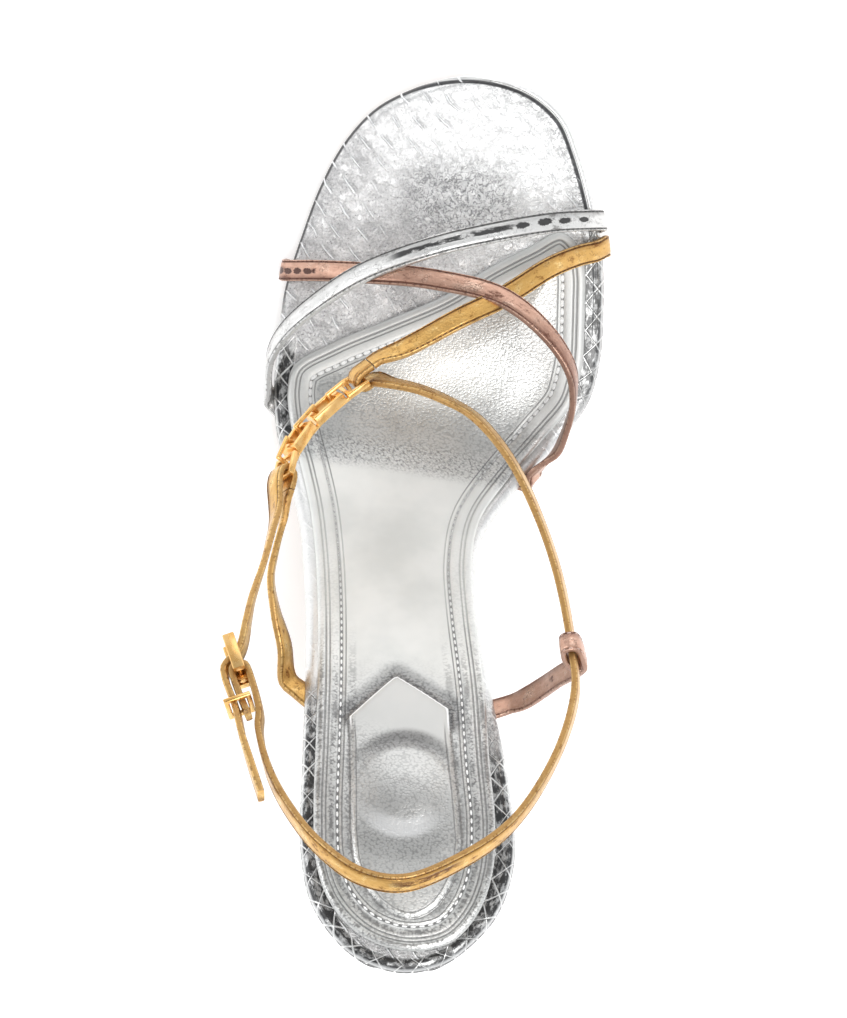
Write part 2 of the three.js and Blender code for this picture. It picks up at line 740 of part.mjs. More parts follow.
function buckleFrameSolid() {
  const inner = buckleWidth - 2 * buckleSide;
  const slabOutline = new THREE.Shape();
  slabOutline.moveTo(-buckleLength / 2, -buckleSide / 2);
  slabOutline.lineTo(buckleLength / 2, -buckleSide / 2);
  slabOutline.lineTo(buckleLength / 2, buckleSide / 2);
  slabOutline.lineTo(-buckleLength / 2, buckleSide / 2);
  slabOutline.closePath();
  const slabs = [1, -1].map((way) => geometrySolid(
    extrudeCentred(slabOutline, buckleThickness),
    placeMatrix(buckle.axes.length, buckle.axes.width, buckle.axes.face,
      buckle.centre.clone().addScaledVector(buckle.axes.width, way * (inner + buckleSide) / 2))));
  const bar = buckleBox(buckleBar, inner + buckleSide, buckleBar, frontBarPlace, 0, 0);
  const rod = geometrySolid(
    new THREE.CylinderGeometry(rodRadius, rodRadius, inner + buckleSide, 12),
    placeMatrix(buckle.axes.length, buckle.axes.width, buckle.axes.face, bucklePoint(rodPlace, 0)));
  return slabs[0].add(slabs[1]).add(bar).add(rod);
}

// Stations in the buckle's plane from rows of "along", "out" and the angle of the face
function buckleStations(rows) {
  return rows.map(({ along, out, face }) => {
    const turn = THREE.MathUtils.degToRad(face);
    return {
      point: bucklePoint(along, out),
      facing: buckle.axes.face.clone().multiplyScalar(Math.cos(turn))
        .addScaledVector(buckle.axes.length, Math.sin(turn)),
    };
  });
}

const prongRadius = rodRadius + clearance + prongThickness / 2;
const prongRest = buckleBar / 2 + clearance + prongThickness / 2;
const tailOut = hookRadius + strapThickness + clearance;
const keeperAlong = rodPlace + keeperDistance;
const legOut = keeperWire / 2 + clearance + strapThickness / 2;
const keeperTailOut = legOut + strapThickness + clearance;

function prongSolid() {
  const bar = bandSolid(buckleStations([
    { along: rodPlace, out: prongRadius, face: 0 },
    { along: 0, out: (prongRadius + prongRest) / 2, face: 0 },
    { along: frontBarPlace - buckleBar / 4, out: prongRest, face: 0 },
  ]), prongWidth, prongThickness);
  const inner = prongRadius - prongThickness / 2;
  const outer = prongRadius + prongThickness / 2;
  const profile = [
    [inner, -prongWidth / 2], [outer, -prongWidth / 2],
    [outer, prongWidth / 2], [inner, prongWidth / 2], [inner, -prongWidth / 2],
  ].map(([x, y]) => new THREE.Vector2(x, y));
  const eye = geometrySolid(new THREE.LatheGeometry(profile, 16),
    placeMatrix(buckle.axes.length, buckle.axes.width, buckle.axes.face, bucklePoint(rodPlace, 0)));
  return bar.add(eye);
}

function keeperSolid() {
  const inside = {
    out: keeperTailOut + strapThickness / 2 + clearance - keeperWire / 2,
    width: strapWidth + 2 * clearance,
  };
  const shape = frameShape(inside.out + 2 * keeperWire, inside.width + 2 * keeperWire,
    keeperWire, keeperWire);
  const centre = bucklePoint(keeperAlong, (inside.out + keeperWire) / 2);
  const back = buckle.axes.length.clone().negate();
  return geometrySolid(extrudeCentred(shape, keeperWire),
    placeMatrix(buckle.axes.face, buckle.axes.width, back, centre));
}

// Upper: rose over gold and silver over rose, joined where they cross
function upperSolid() {
  const gold = bandSolid([
    ...tuckStations(tucks.goldMedial).stations,
    ...routeStations(goldRoute, vampRise),
    ...vampEndStations(),
  ]);
  const rose = bandSolid([
    ...tuckStations(tucks.roseLateral).stations,
    ...routeStations(roseRoute, vampRise),
    ...tuckStations(tucks.roseMedial).stations.reverse(),
  ]);
  const silver = bandSolid([
    ...tuckStations(tucks.silverMedial).stations,
    ...routeStations(silverRoute, vampRise),
    ...tuckStations(tucks.silverLateral).stations.reverse(),
  ]);
  return gold.add(rose).add(silver);
}

// End of the gold vamp strap, which meets the ankle strap's folded end
function vampEndStations() {
  const end = -ringLegs.outgoing - seamGap;
  return [end - ringHookRadius, end].map((along) => ({
    point: offsetPoint(frontBar, frontRing.axes, along, ringHookRadius),
    facing: frontRing.axes.face.clone(),
  }));
}

function ankleStations() {
  const hook = hookStations(frontBar, frontRing.axes, 1, -1, ringHookRadius, ringLegs).reverse();
  const fold = buckleStations([
    { along: keeperAlong + 5 * strapThickness, out: strapThickness * 0.1, face: 0 },
    { along: keeperAlong + 2.5 * strapThickness, out: -legOut * 0.7, face: 0 },
    { along: keeperAlong, out: -legOut, face: 0 },
    { along: rodPlace + foldLeg, out: -hookRadius, face: 0 },
    { along: rodPlace, out: -hookRadius, face: 0 },
    ...[30, 60, 90, 120, 150].map((face) => ({
      along: rodPlace - hookRadius * Math.sin(THREE.MathUtils.degToRad(face)),
      out: -hookRadius * Math.cos(THREE.MathUtils.degToRad(face)),
      face,
    })),
    { along: rodPlace, out: hookRadius, face: 180 },
    { along: rodPlace + foldLeg, out: hookRadius, face: 180 },
    { along: keeperAlong, out: legOut, face: 180 },
    { along: keeperAlong + 2 * strapThickness, out: legOut * 0.85, face: 180 },
  ]);
  return [...hook, ...routeStations(ankleRoute, ankleRise), ...fold];
}

function ankleStrapSolid() {
  const slotWidth = prongWidth + 2 * clearance;
  const slot = buckleBox(2 * hookRadius + 2 * strapThickness, slotWidth,
    2 * hookRadius + 3 * strapThickness, rodPlace, 0, 0);
  return bandSolid(ankleStations()).subtract(slot);
}

// Way of the buckle strap over the front bar, in strap thicknesses past the bar and outward
const throughRows = [
  { past: -2.6, rise: -1.7, face: -28 },
  { past: -1.1, rise: -1, face: -30 },
  { past: 0.6, rise: -0.06, face: -30 },
  { past: 1.7, rise: 0.96, face: -42 },
  { past: 2.55, rise: 2.35, face: -52 },
  { past: 3.4, rise: 3.3, face: -40 },
];
const holeLength = 3.4;

function buckleStrapSolid() {
  const hook = hookStations(rearBar, rearRing.axes, -1, 1, ringHookRadius, ringLegs).reverse()
    .map(({ point, facing }) => ({ point, facing: facing.negate() }));
  const inside = -buckleBar / 2 - clearance - strapThickness / 2;
  const through = buckleStations([
    ...throughRows.map(({ past, rise, face }) => ({
      along: frontBarPlace + past * strapThickness, out: inside + rise * strapThickness, face,
    })),
    { along: rodPlace, out: tailOut, face: -8 },
    { along: rodPlace + foldLeg, out: tailOut, face: 0 },
    { along: keeperAlong, out: keeperTailOut, face: 4 },
  ]);
  const stations = [
    ...hook, ...routeStations(buckleStrapRoute, ankleRise), ...through,
    ...routeStations(tailRoute, ankleRise),
  ];
  const hole = buckleBox(holeLength, prongWidth + 2 * clearance, 3 * strapThickness,
    frontBarPlace + 2.45 * strapThickness, 0, prongRest);
  return bandSolid(stations).subtract(hole);
}

function lateralAnchorSolid() {
  const end = ringLegs.outgoing + seamGap;
  const joined = [end, end + foldRadius].map((along) => ({
    point: offsetPoint(rearBar, rearRing.axes, along, -ringHookRadius),
    facing: rearRing.axes.face.clone(),
  }));
  return bandSolid([
    ...joined,
    ...routeStations(lateralAnchorRoute, ankleRise),
    ...tuckStations(tucks.anchorLateral).stations.reverse(),
  ]);
}

// Medial anchor with the folded loop that the ankle strap runs through: "out" and "up" are shares
// of the loop's half depth and half height
const loopThickness = 1.4;
const loopRows = [
  { out: 0.9, up: -1.34, face: 0 },
  { out: 1.08, up: -0.5, face: 0 },
  { out: 1.08, up: 0.5, face: 0 },
  { out: 0.75, up: 0.98, face: 45 },
  { out: 0, up: 1.1, face: 90 },
  { out: -0.75, up: 0.98, face: 135 },
  { out: -1.08, up: 0.5, face: 180 },
  { out: -1.08, up: -0.5, face: 180 },
  { out: -0.65, up: -1.17, face: 200 },
  { out: 0.2, up: -1.54, face: 215 },
];

function medialAnchorSolid() {
  const ankle = routeStations(ankleRoute, ankleRise);
  const frames = strapFrames(ankle);
  const target = ankle[medialLoopRow].point;
  const frame = frames.reduce((best, candidate) =>
    (candidate.point.distanceTo(target) < best.point.distanceTo(target) ? candidate : best));
  const out = strapThickness / 2 + clearance + loopThickness / 2;
  const up = strapWidth / 2 + clearance + loopThickness / 2;
  const upward = frame.across.z > 0 ? frame.across : frame.across.clone().negate();
  const loop = loopRows.map((row) => {
    const turn = THREE.MathUtils.degToRad(row.face);
    return {
      point: frame.point.clone().addScaledVector(frame.facing, row.out * out)
        .addScaledVector(upward, row.up * up),
      facing: frame.facing.clone().multiplyScalar(Math.cos(turn))
        .addScaledVector(upward, Math.sin(turn)),
    };
  });
  const stem = bandSolid([
    ...tuckStations(tucks.anchorMedial).stations,
    ...routeStations(medialAnchorRoute, ankleRise),
    loop[0], loop[1],
  ], strapWidth, loopThickness);
  return stem.add(bandSolid(loop.slice(1), strapWidth, loopThickness));
}

// Heel column: the seat's outline narrows down to the tip's
const heelSideStations = 9;
const breastStations = 2;

function seatLoop() {
  const lateral = [];
  const medial = [];
  const last = heelBreast * soleLength;
  for (let i = 1; i <= heelSideStations; i++) {
    const share = 1 - Math.cos((Math.PI / 2) * (i / heelSideStations));
    const length = heelInset + (last - heelInset) * share;
    for (const [side, list] of [['lateral', lateral], ['medial', medial]]) {
      const point = sideAt(boardSides[side], length);
      list.push({ across: point.across - heelInset * point.normal.across, length });
    }
  }
  const corner = { l: lateral[heelSideStations - 1], m: medial[heelSideStations - 1] };
  const breast = [];
  for (let i = 1; i < 2 * (breastStations + 1); i++) {
    const mix = i / (2 * (breastStations + 1));
    breast.push({ across: THREE.MathUtils.lerp(corner.l.across, corner.m.across, mix), length: last });
  }
  const back = { across: boardSides.lateral[0].across, length: heelInset };
  return [back, ...lateral, ...breast, ...medial.reverse()]
    .map((point) => solePoint(point.length, point.across, outsoleTop));
}

const tipCentre = new THREE.Vector3(
  boardEnds.heel.across * ballWidth, heelBack + tipSetback + tipLength / 2, 0);

function tipLoop(count, z, inset = 0) {
  const loop = [];
  for (let i = 0; i < count; i++) {
    const angle = (2 * Math.PI * i) / count;
    loop.push(new THREE.Vector3(
      tipCentre.x - (tipWidth / 2 - inset) * Math.sin(angle),
      tipCentre.y - (tipLength / 2 - inset) * Math.cos(angle),
      z));
  }
  return loop;
}

function heelSolid() {
  const seat = seatLoop();
  const foot = tipLoop(seat.length, tipThickness + clearance);
  return loftSolid(heelRows.map(({ up, flare }) => foot.map((low, i) => new THREE.Vector3(
    THREE.MathUtils.lerp(low.x, seat[i].x, flare),
    THREE.MathUtils.lerp(low.y, seat[i].y, flare),
    THREE.MathUtils.lerp(low.z, seat[i].z, up)))));
}

const tipFacets = 24;
const tipTaper = 0.4;

function heelTipSolid() {
  return loftSolid([tipLoop(tipFacets, 0, tipTaper), tipLoop(tipFacets, tipThickness)]);
}

function outsoleSolid() {
  return plateSolid(boardSides, [
    { lift: outsoleTop - outsoleThickness, inset: outsoleInset + 0.4 },
    { lift: outsoleTop - outsoleThickness / 2, inset: outsoleInset },
    { lift: outsoleTop, inset: outsoleInset },
  ], heelBreast + clearance / soleLength);
}

function boardSolid() {
  const low = -boardThickness;
  const plate = plateSolid(boardSides, [
    { lift: low, inset: boardRounding },
    { lift: low * 0.8, inset: boardRounding * 0.25 },
    { lift: low * 0.5, inset: 0 },
    { lift: low * 0.2, inset: boardRounding * 0.25 },
    { lift: 0, inset: boardRounding },
  ]);
  return Object.values(tucks).reduce(
    (board, tuck) => board.subtract(pocketSolid(tuckStations(tuck))), plate);
}

function footbedSolid() {
  return plateSolid(footbedSides, [
    { lift: clearance, inset: footbedRounding * 0.4 },
    { lift: clearance + footbedThickness * 0.4, inset: 0 },
    { lift: clearance + footbedThickness * 0.8, inset: footbedRounding * 0.4 },
    { lift: clearance + footbedThickness, inset: footbedRounding * 1.5 },
  ]);
}

// Scene graph: one named mesh for each piece
function pieceMesh(name, solid, colour, roughness, metalness) {
  const { vertProperties, triVerts, numProp } = solid.getMesh();
  const geometry = new THREE.BufferGeometry();
  const positions = new Float32Array((vertProperties.length / numProp) * 3);
  for (let i = 0; i < vertProperties.length / numProp; i++) {
    for (let axis = 0; axis < 3; axis++) positions[3 * i + axis] = vertProperties[numProp * i + axis];
  }
  geometry.setAttribute('position', new THREE.BufferAttribute(positions, 3));
  geometry.setIndex(new THREE.BufferAttribute(new Uint32Array(triVerts), 1));
  geometry.computeVertexNormals();
  const material = new THREE.MeshStandardMaterial({ color: colour, roughness, metalness });
  const mesh = new THREE.Mesh(geometry, material);
  mesh.name = name;
  return mesh;
}

const group = new THREE.Group();
group.add(
  pieceMesh('outsole', outsoleSolid(), colours.sole, 0.6, 0),
  pieceMesh('insole_board', boardSolid(), colours.silver, 0.4, 0.7),
  pieceMesh('footbed', footbedSolid(), colours.silverSmooth, 0.35, 0.7),
  pieceMesh('heel', heelSolid(), colours.silver, 0.35, 0.7),
  pieceMesh('heel_tip', heelTipSolid(), colours.tip, 0.7, 0),
  pieceMesh('upper', upperSolid(), colours.rose, 0.4, 0.6),
  pieceMesh('ankle_strap', ankleStrapSolid(), colours.gold, 0.4, 0.6),
  pieceMesh('medial_anchor', medialAnchorSolid(), colours.rose, 0.4, 0.6),
  pieceMesh('lateral_anchor', lateralAnchorSolid(), colours.gold, 0.4, 0.6),
  pieceMesh('buckle_strap', buckleStrapSolid(), colours.gold, 0.4, 0.6),
  pieceMesh('buckle_frame', buckleFrameSolid(), colours.metal, 0.25, 1),
  pieceMesh('buckle_prong', prongSolid(), colours.metal, 0.25, 1),
  pieceMesh('keeper', keeperSolid(), colours.metal, 0.25, 1),
);
for (const piece of chain) {
  group.add(pieceMesh(piece.name, chainPieceSolid(piece), colours.metal, 0.25, 1));
}
for (let i = 0; i + 1 < chain.length; i++) {
  group.add(pieceMesh(`jump_ring_${i + 1}`, jumpRingSolid(chain[i], chain[i + 1]),
    colours.metal, 0.25, 1));
}

export default group;
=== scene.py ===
import math

import bpy
import numpy as np
from mathutils import Matrix, Vector
from mathutils.kdtree import KDTree


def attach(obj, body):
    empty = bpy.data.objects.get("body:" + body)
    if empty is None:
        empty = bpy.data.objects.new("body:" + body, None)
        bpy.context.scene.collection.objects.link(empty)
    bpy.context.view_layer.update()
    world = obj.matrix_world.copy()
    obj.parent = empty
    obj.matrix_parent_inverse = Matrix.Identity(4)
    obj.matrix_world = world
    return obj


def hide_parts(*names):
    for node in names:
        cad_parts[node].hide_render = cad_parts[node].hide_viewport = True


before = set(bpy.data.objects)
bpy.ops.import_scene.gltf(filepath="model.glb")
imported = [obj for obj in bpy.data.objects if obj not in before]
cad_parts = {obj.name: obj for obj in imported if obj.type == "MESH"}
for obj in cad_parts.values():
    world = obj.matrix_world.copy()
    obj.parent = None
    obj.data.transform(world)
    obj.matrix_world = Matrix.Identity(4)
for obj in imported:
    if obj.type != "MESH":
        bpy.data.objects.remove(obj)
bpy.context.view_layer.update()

# Sizes are written in millimetres and made metres where a mesh is placed
MM = 0.001

# Sizes of the last, the sole and the straps, as in the part's source
SOLE_LENGTH = 240
BALL_WIDTH = 80
ARCH_SLOPE = 45.5
TOE_SLOPE = 9
TREAD_MIDDLE = 0.745
OUTSOLE_THICKNESS = 1.8
BOARD_THICKNESS = 4.2
FOOTBED_THICKNESS = 2.4
HEEL_BREAST = 0.165
HEEL_INSET = 1.4
TIP_WIDTH = 13
TIP_LENGTH = 14
TIP_SETBACK = 5.5
TIP_THICKNESS = 5
CLEARANCE = 0.3
STRAP_WIDTH = 5.2
STRAP_THICKNESS = 1.6
LOOP_THICKNESS = 1.4
VAMP_RISE = 36
ANKLE_RISE = 57
FOLD_RADIUS = 1.7
FOLD_LEG = 3.5
TUCK_DEPTH = 7
TUCK_LIFT = 0.95
POCKET_CLEARANCE = 0.4
CROSSING_OVERLAP = 0.25
SEAM_GAP = 0.3
LINK_SIDE_BAR = 1.1
RING_LENGTH = 6.2
RING_THICKNESS = 1.6
RING_BAR = 1
CHAIN_LEAN = 30
BUCKLE_LENGTH = 9.6
BUCKLE_BAR = 1.7
ROD_RADIUS = 0.8
PRONG_WIDTH = 1.3
PRONG_THICKNESS = 1
HOLE_LENGTH = 3.4
KEEPER_WIRE = 1.2
KEEPER_DISTANCE = 8
EDGE_BEVEL = 0.2

BOARD_TOP = OUTSOLE_THICKNESS + CLEARANCE + BOARD_THICKNESS
OUTSOLE_TOP = -BOARD_THICKNESS - CLEARANCE
HOOK_RADIUS = ROD_RADIUS + CLEARANCE + STRAP_THICKNESS / 2
RING_WIDTH = STRAP_WIDTH + 2 * (LINK_SIDE_BAR + CLEARANCE)
RING_HOOK_RADIUS = RING_THICKNESS / 2 + CLEARANCE + STRAP_THICKNESS / 2

# Slope of the insole's top: share of the length, shares of the arch's and the toe's slope
SLOPE_ROWS = [
    (0.0, 0.37, 0), (0.1, 0.44, 0), (0.2, 0.62, 0), (0.3, 0.86, 0), (0.4, 1.0, 0), (0.5, 0.99, 0),
    (0.58, 0.75, 0), (0.64, 0.34, 0), (0.7, 0.0, 0), (0.79, 0.0, 0), (1.0, 0.0, 1),
]

# Outlines: share of the length, then both sides as shares of the ball width
BOARD_ROWS = [
    (0.01, -0.094, 0.15), (0.03, -0.172, 0.225), (0.065, -0.248, 0.302), (0.12, -0.29, 0.34),
    (0.2, -0.302, 0.309), (0.3, -0.314, 0.244), (0.4, -0.334, 0.185), (0.46, -0.353, 0.165),
    (0.52, -0.378, 0.18), (0.575, -0.42, 0.26), (0.625, -0.47, 0.37), (0.675, -0.49, 0.472),
    (0.72, -0.484, 0.501), (0.77, -0.475, 0.502), (0.83, -0.43, 0.487), (0.88, -0.382, 0.451),
    (0.925, -0.316, 0.405), (0.96, -0.228, 0.355), (0.982, -0.118, 0.285), (0.995, -0.01, 0.203),
]
BOARD_ENDS = ((0, 0.035), (1, 0.09))
SOCK_ROWS = [
    (0.03, -0.085, 0.17), (0.06, -0.185, 0.243), (0.1, -0.238, 0.278), (0.15, -0.257, 0.278),
    (0.22, -0.266, 0.248), (0.3, -0.277, 0.218), (0.4, -0.298, 0.172), (0.47, -0.32, 0.152),
    (0.53, -0.348, 0.168), (0.58, -0.385, 0.238), (0.63, -0.428, 0.338), (0.67, -0.446, 0.42),
    (0.695, -0.43, 0.44), (0.72, -0.318, 0.449), (0.747, -0.152, 0.448), (0.776, 0.021, 0.445),
    (0.805, 0.143, 0.44), (0.83, 0.268, 0.42),
]
SOCK_ENDS = ((0.019, 0.045), (0.846, 0.36))

# Heel from the floor up: share of the height, share of the way from the tip's to the seat's outline
HEEL_ROWS = [
    (0, 0), (0.25, 0.03), (0.5, 0.1), (0.7, 0.22), (0.83, 0.42), (0.92, 0.68), (0.97, 0.86), (1, 1),
]

# Strap routes over the vamp: along, across, above, turn, pitch and how many straps lie under
SILVER_ROUTE = [
    (0.842, 0.435, 0.18, 62, 8, 0), (0.836, 0.325, 0.38, 42, 12, 0),
    (0.819, 0.146, 0.59, 18, 18, 0), (0.799, -0.025, 0.69, 0, 20, 0),
    (0.766, -0.228, 0.555, -24, 18, 1), (0.729, -0.368, 0.45, -48, 16, 0),
    (0.696, -0.458, 0.32, -66, 8, 0),
    (0.664, -0.503, 0.14, -80, 0, 0),
]
ROSE_ROUTE = [
    (0.765, -0.478, 0.1, -68, 0, 0), (0.766, -0.377, 0.34, -46, 6, 0),
    (0.766, -0.228, 0.555, -24, 16, 0), (0.763, -0.019, 0.69, 0, 22, 0),
    (0.747, 0.198, 0.705, 24, 22, 1), (0.709, 0.34, 0.74, 50, 20, 0),
    (0.669, 0.416, 0.68, 72, 10, 0), (0.633, 0.428, 0.52, 86, 0, 0),
    (0.603, 0.412, 0.34, 88, 0, 0), (0.576, 0.384, 0.14, 88, 0, 0),
]
GOLD_ROUTE = [
    (0.808, 0.472, 0.12, 66, 8, 0), (0.8, 0.412, 0.27, 54, 12, 0), (0.783, 0.327, 0.49, 42, 16, 0),
    (0.747, 0.198, 0.705, 24, 20, 0), (0.721, 0.077, 0.85, 10, 26, 0),
    (0.682, -0.091, 0.931, -10, 34, 0),
]
MEDIAL_ANCHOR_ROUTE = [
    (0.301, 0.339, 0.041, 136, 0, 0), (0.314, 0.386, 0.173, 124, 0, 0),
    (0.33, 0.436, 0.41, 110, 0, 0),
]
LATERAL_ANCHOR_ROUTE = [
    (0.482, -0.41, 0.575, -80, 0, 0), (0.451, -0.424, 0.495, -88, 0, 0),
    (0.418, -0.434, 0.395, -93, 0, 0), (0.38, -0.413, 0.269, -101, 0, 0),
    (0.343, -0.382, 0.118, -116, 0, 0),
]

# Straps that stand on edge: along, across, above, heading and lean of the face
ANKLE_ROUTE = [
    (0.643, -0.126, 0.679, 0, 18), (0.638, -0.037, 0.747, 10, 16), (0.627, 0.053, 0.828, 20, 15),
    (0.61, 0.143, 0.9, 34, 14), (0.564, 0.259, 0.989, 54, 12), (0.499, 0.357, 0.981, 64, 10),
    (0.437, 0.423, 0.909, 70, 10), (0.362, 0.473, 0.82, 80, 10), (0.318, 0.489, 0.796, 90, 10),
    (0.248, 0.443, 0.824, 112, 14), (0.177, 0.331, 0.897, 132, 26), (0.137, 0.194, 0.959, 150, 40),
    (0.111, 0.035, 1.012, 172, 48), (0.116, -0.089, 1.0, 198, 46), (0.143, -0.21, 0.968, 225, 36),
    (0.177, -0.302, 0.897, 240, 24), (0.214, -0.37, 0.823, 248, 14),
]
BUCKLE_STRAP_ROUTE = [
    (0.491, -0.429, 0.725, 268, 34), (0.468, -0.435, 0.755, 268, 26),
    (0.436, -0.447, 0.786, 266, 20), (0.397, -0.469, 0.8, 262, 16),
]
TAIL_ROUTE = [
    (0.249, -0.456, 0.815, 246, 10), (0.22, -0.423, 0.836, 246, 14),
    (0.191, -0.389, 0.857, 244, 16),
]
MEDIAL_LOOP_ROW = 7

# Strap ends under the insole's edge: side, share of the length, drift and whether they stand up
TUCKS = {
    "silver_medial": (1, 0.859, -0.1, True), "silver_lateral": (-1, 0.672, -0.8, True),
    "rose_lateral": (-1, 0.791, 0, True), "rose_medial": (1, 0.598, -0.4, True),
    "gold_medial": (1, 0.834, -0.1, True), "anchor_medial": (1, 0.294, -0.15, False),
    "anchor_lateral": (-1, 0.312, -0.9, False),
}

# Chain: start, then length, heading and climb of each piece from front to rear
CHAIN_START = (0.647, -0.2025, 0.98)
CHAIN_ROWS = [(6.2, -130, 10), (9.4, -136, 16), (8.8, -151, 34), (6.2, -172, 32)]
BUCKLE_PLACE = (0.33, -0.496, 0.79)
BUCKLE_AIM = (156, 32, 4)


# Side view of the insole's top and its outlines

LINE_STEPS = 480


def slope_at(share):
    rows = np.array(SLOPE_ROWS)
    arch = np.interp(share, rows[:, 0], rows[:, 1])
    toe = np.interp(share, rows[:, 0], rows[:, 2])
    return np.radians(ARCH_SLOPE * arch - TOE_SLOPE * toe)


def sole_line():
    middles = (np.arange(LINE_STEPS) + 0.5) / LINE_STEPS
    step = SOLE_LENGTH / LINE_STEPS
    y = np.concatenate([[0], np.cumsum(np.cos(slope_at(middles)) * step)])
    z = np.concatenate([[0], -np.cumsum(np.sin(slope_at(middles)) * step)])
    middle = round(TREAD_MIDDLE * LINE_STEPS)
    return y - y[middle], z - z[middle] + BOARD_TOP


LINE_Y, LINE_Z = sole_line()
HEEL_BACK = LINE_Y[0]
PLAN_LENGTH = LINE_Y[-1] - LINE_Y[0]


def sole_points(length, across, lift):
    """Places over the insole's top, from lengths, places across and lifts"""
    length, across, lift = (np.asarray(value, float) for value in (length, across, lift))
    share = np.clip(length / SOLE_LENGTH, 0, 1)
    slope = slope_at(share)
    beyond = length - share * SOLE_LENGTH
    steps = np.linspace(0, 1, LINE_STEPS + 1)
    y = np.interp(share, steps, LINE_Y) + beyond * np.cos(slope) + lift * np.sin(slope)
    z = np.interp(share, steps, LINE_Z) - beyond * np.sin(slope) + lift * np.cos(slope)
    return np.stack(np.broadcast_arrays(across, y, z), axis=-1)


def sole_point(length, across, lift):
    return Vector(sole_points(length, across, lift))


def curve_through(points, closed=False):
    """Centripetal curve through points, as a function of 0 to 1"""
    count = len(points)

    def at(t):
        place = (count - (0 if closed else 1)) * t
        index = math.floor(place)
        weight = place - index
        if not closed and index == count - 1:
            index, weight = count - 2, 1
        b, c = points[index % count], points[(index + 1) % count]
        a = points[(index - 1) % count] if closed or index > 0 else 2 * b - c
        d = points[(index + 2) % count] if closed or index + 2 < count else 2 * c - b
        mid = (c - b).length ** 0.5
        before = (b - a).length ** 0.5
        after = (d - c).length ** 0.5
        start = ((b - a) / before - (c - a) / (before + mid) + (c - b) / mid) * mid
        end = ((c - b) / mid - (d - b) / (mid + after) + (d - c) / after) * mid
        return (b + start * weight + (3 * (c - b) - 2 * start - end) * weight ** 2
                + (2 * (b - c) + start + end) * weight ** 3)

    return at


def tangent_of(curve, t, reach=1e-4):
    return (curve(min(1, t + reach)) - curve(max(0, t - reach))).normalized()


class Outline:
    """Closed outline of a flat-laid plate, from heel to toe along both sides"""

    samples = 400

    def __init__(self, rows, ends):
        def place(share, across):
            return Vector((across * BALL_WIDTH, share * SOLE_LENGTH, 0))
        points = [place(*ends[0])] + [place(row[0], row[1]) for row in rows]
        points += [place(*ends[1])] + [place(row[0], row[2]) for row in reversed(rows)]
        curve = curve_through(points, closed=True)
        self.sides = {-1: [], 1: []}
        for i in range(self.samples + 1):
            for side, t in ((-1, 0.5 * i / self.samples), (1, 1 - 0.5 * i / self.samples)):
                point, tangent = curve(t), tangent_of(curve, t)
                self.sides[side].append((point.y, point.x, -tangent.y, tangent.x))
        self.sides = {side: np.array(rows) for side, rows in self.sides.items()}
        loop = np.concatenate([self.sides[-1], self.sides[1][-2:0:-1]])
        self.loop, self.normals = loop[:, [1, 0]], loop[:, [2, 3]]
        steps = np.linalg.norm(np.roll(self.loop, -1, axis=0) - self.loop, axis=1)
        self.run = np.concatenate([[0], np.cumsum(steps)[:-1]])
        self.round = steps.sum()

    def side(self, side, length):
        """Across, and the outward normal's across and length, at a length on one side"""
        rows = self.sides[side]
        return tuple(np.interp(length, rows[:, 0], rows[:, k]) for k in (1, 2, 3))

    def measure(self, points):
        """Distance from each flat point to the outline, and how far round its nearest place is"""
        ends = np.roll(self.loop, -1, axis=0)
        span = ends - self.loop
        length2 = (span ** 2).sum(axis=1)
        distance, run = np.empty(len(points)), np.empty(len(points))
        for first in range(0, len(points), 4000):
            block = points[first:first + 4000]
            offset = block[:, None, :] - self.loop[None]
            t = np.clip((offset * span).sum(axis=2) / length2, 0, 1)
            gap = np.linalg.norm(offset - t[..., None] * span, axis=2)
            nearest = gap.argmin(axis=1)
            picked = np.arange(len(block))
            distance[first:first + 4000] = gap[picked, nearest]
            run[first:first + 4000] = (self.run[nearest]
                                       + t[picked, nearest] * np.sqrt(length2[nearest]))
        return distance, run


BOARD = Outline(BOARD_ROWS, BOARD_ENDS)
SOCK = Outline(SOCK_ROWS, SOCK_ENDS)


# Strap stations: a point and the way that the strap's face looks

def foot_point(along, across, above, rise, stacked=0):
    y = HEEL_BACK + along * PLAN_LENGTH
    lift = above * rise + stacked * (STRAP_THICKNESS - CROSSING_OVERLAP)
    return Vector((across * BALL_WIDTH, y, np.interp(y, LINE_Y, LINE_Z) + lift))


def aim(heading, climb):
    h, c = math.radians(heading), math.radians(climb)
    return Vector((math.sin(h) * math.cos(c), math.cos(h) * math.cos(c), math.sin(c)))


def top_facing(turn, pitch):
    t, p = math.radians(turn), math.radians(pitch)
    return Vector((math.sin(t), math.sin(p) * math.cos(t), math.cos(p) * math.cos(t)))


def vamp_stations(route, rise=VAMP_RISE):
    return [(foot_point(*row[:3], rise, row[5]), top_facing(row[3], row[4])) for row in route]


def edge_stations(route):
    return [(foot_point(*row[:3], ANKLE_RISE), aim(row[3], row[4])) for row in route]


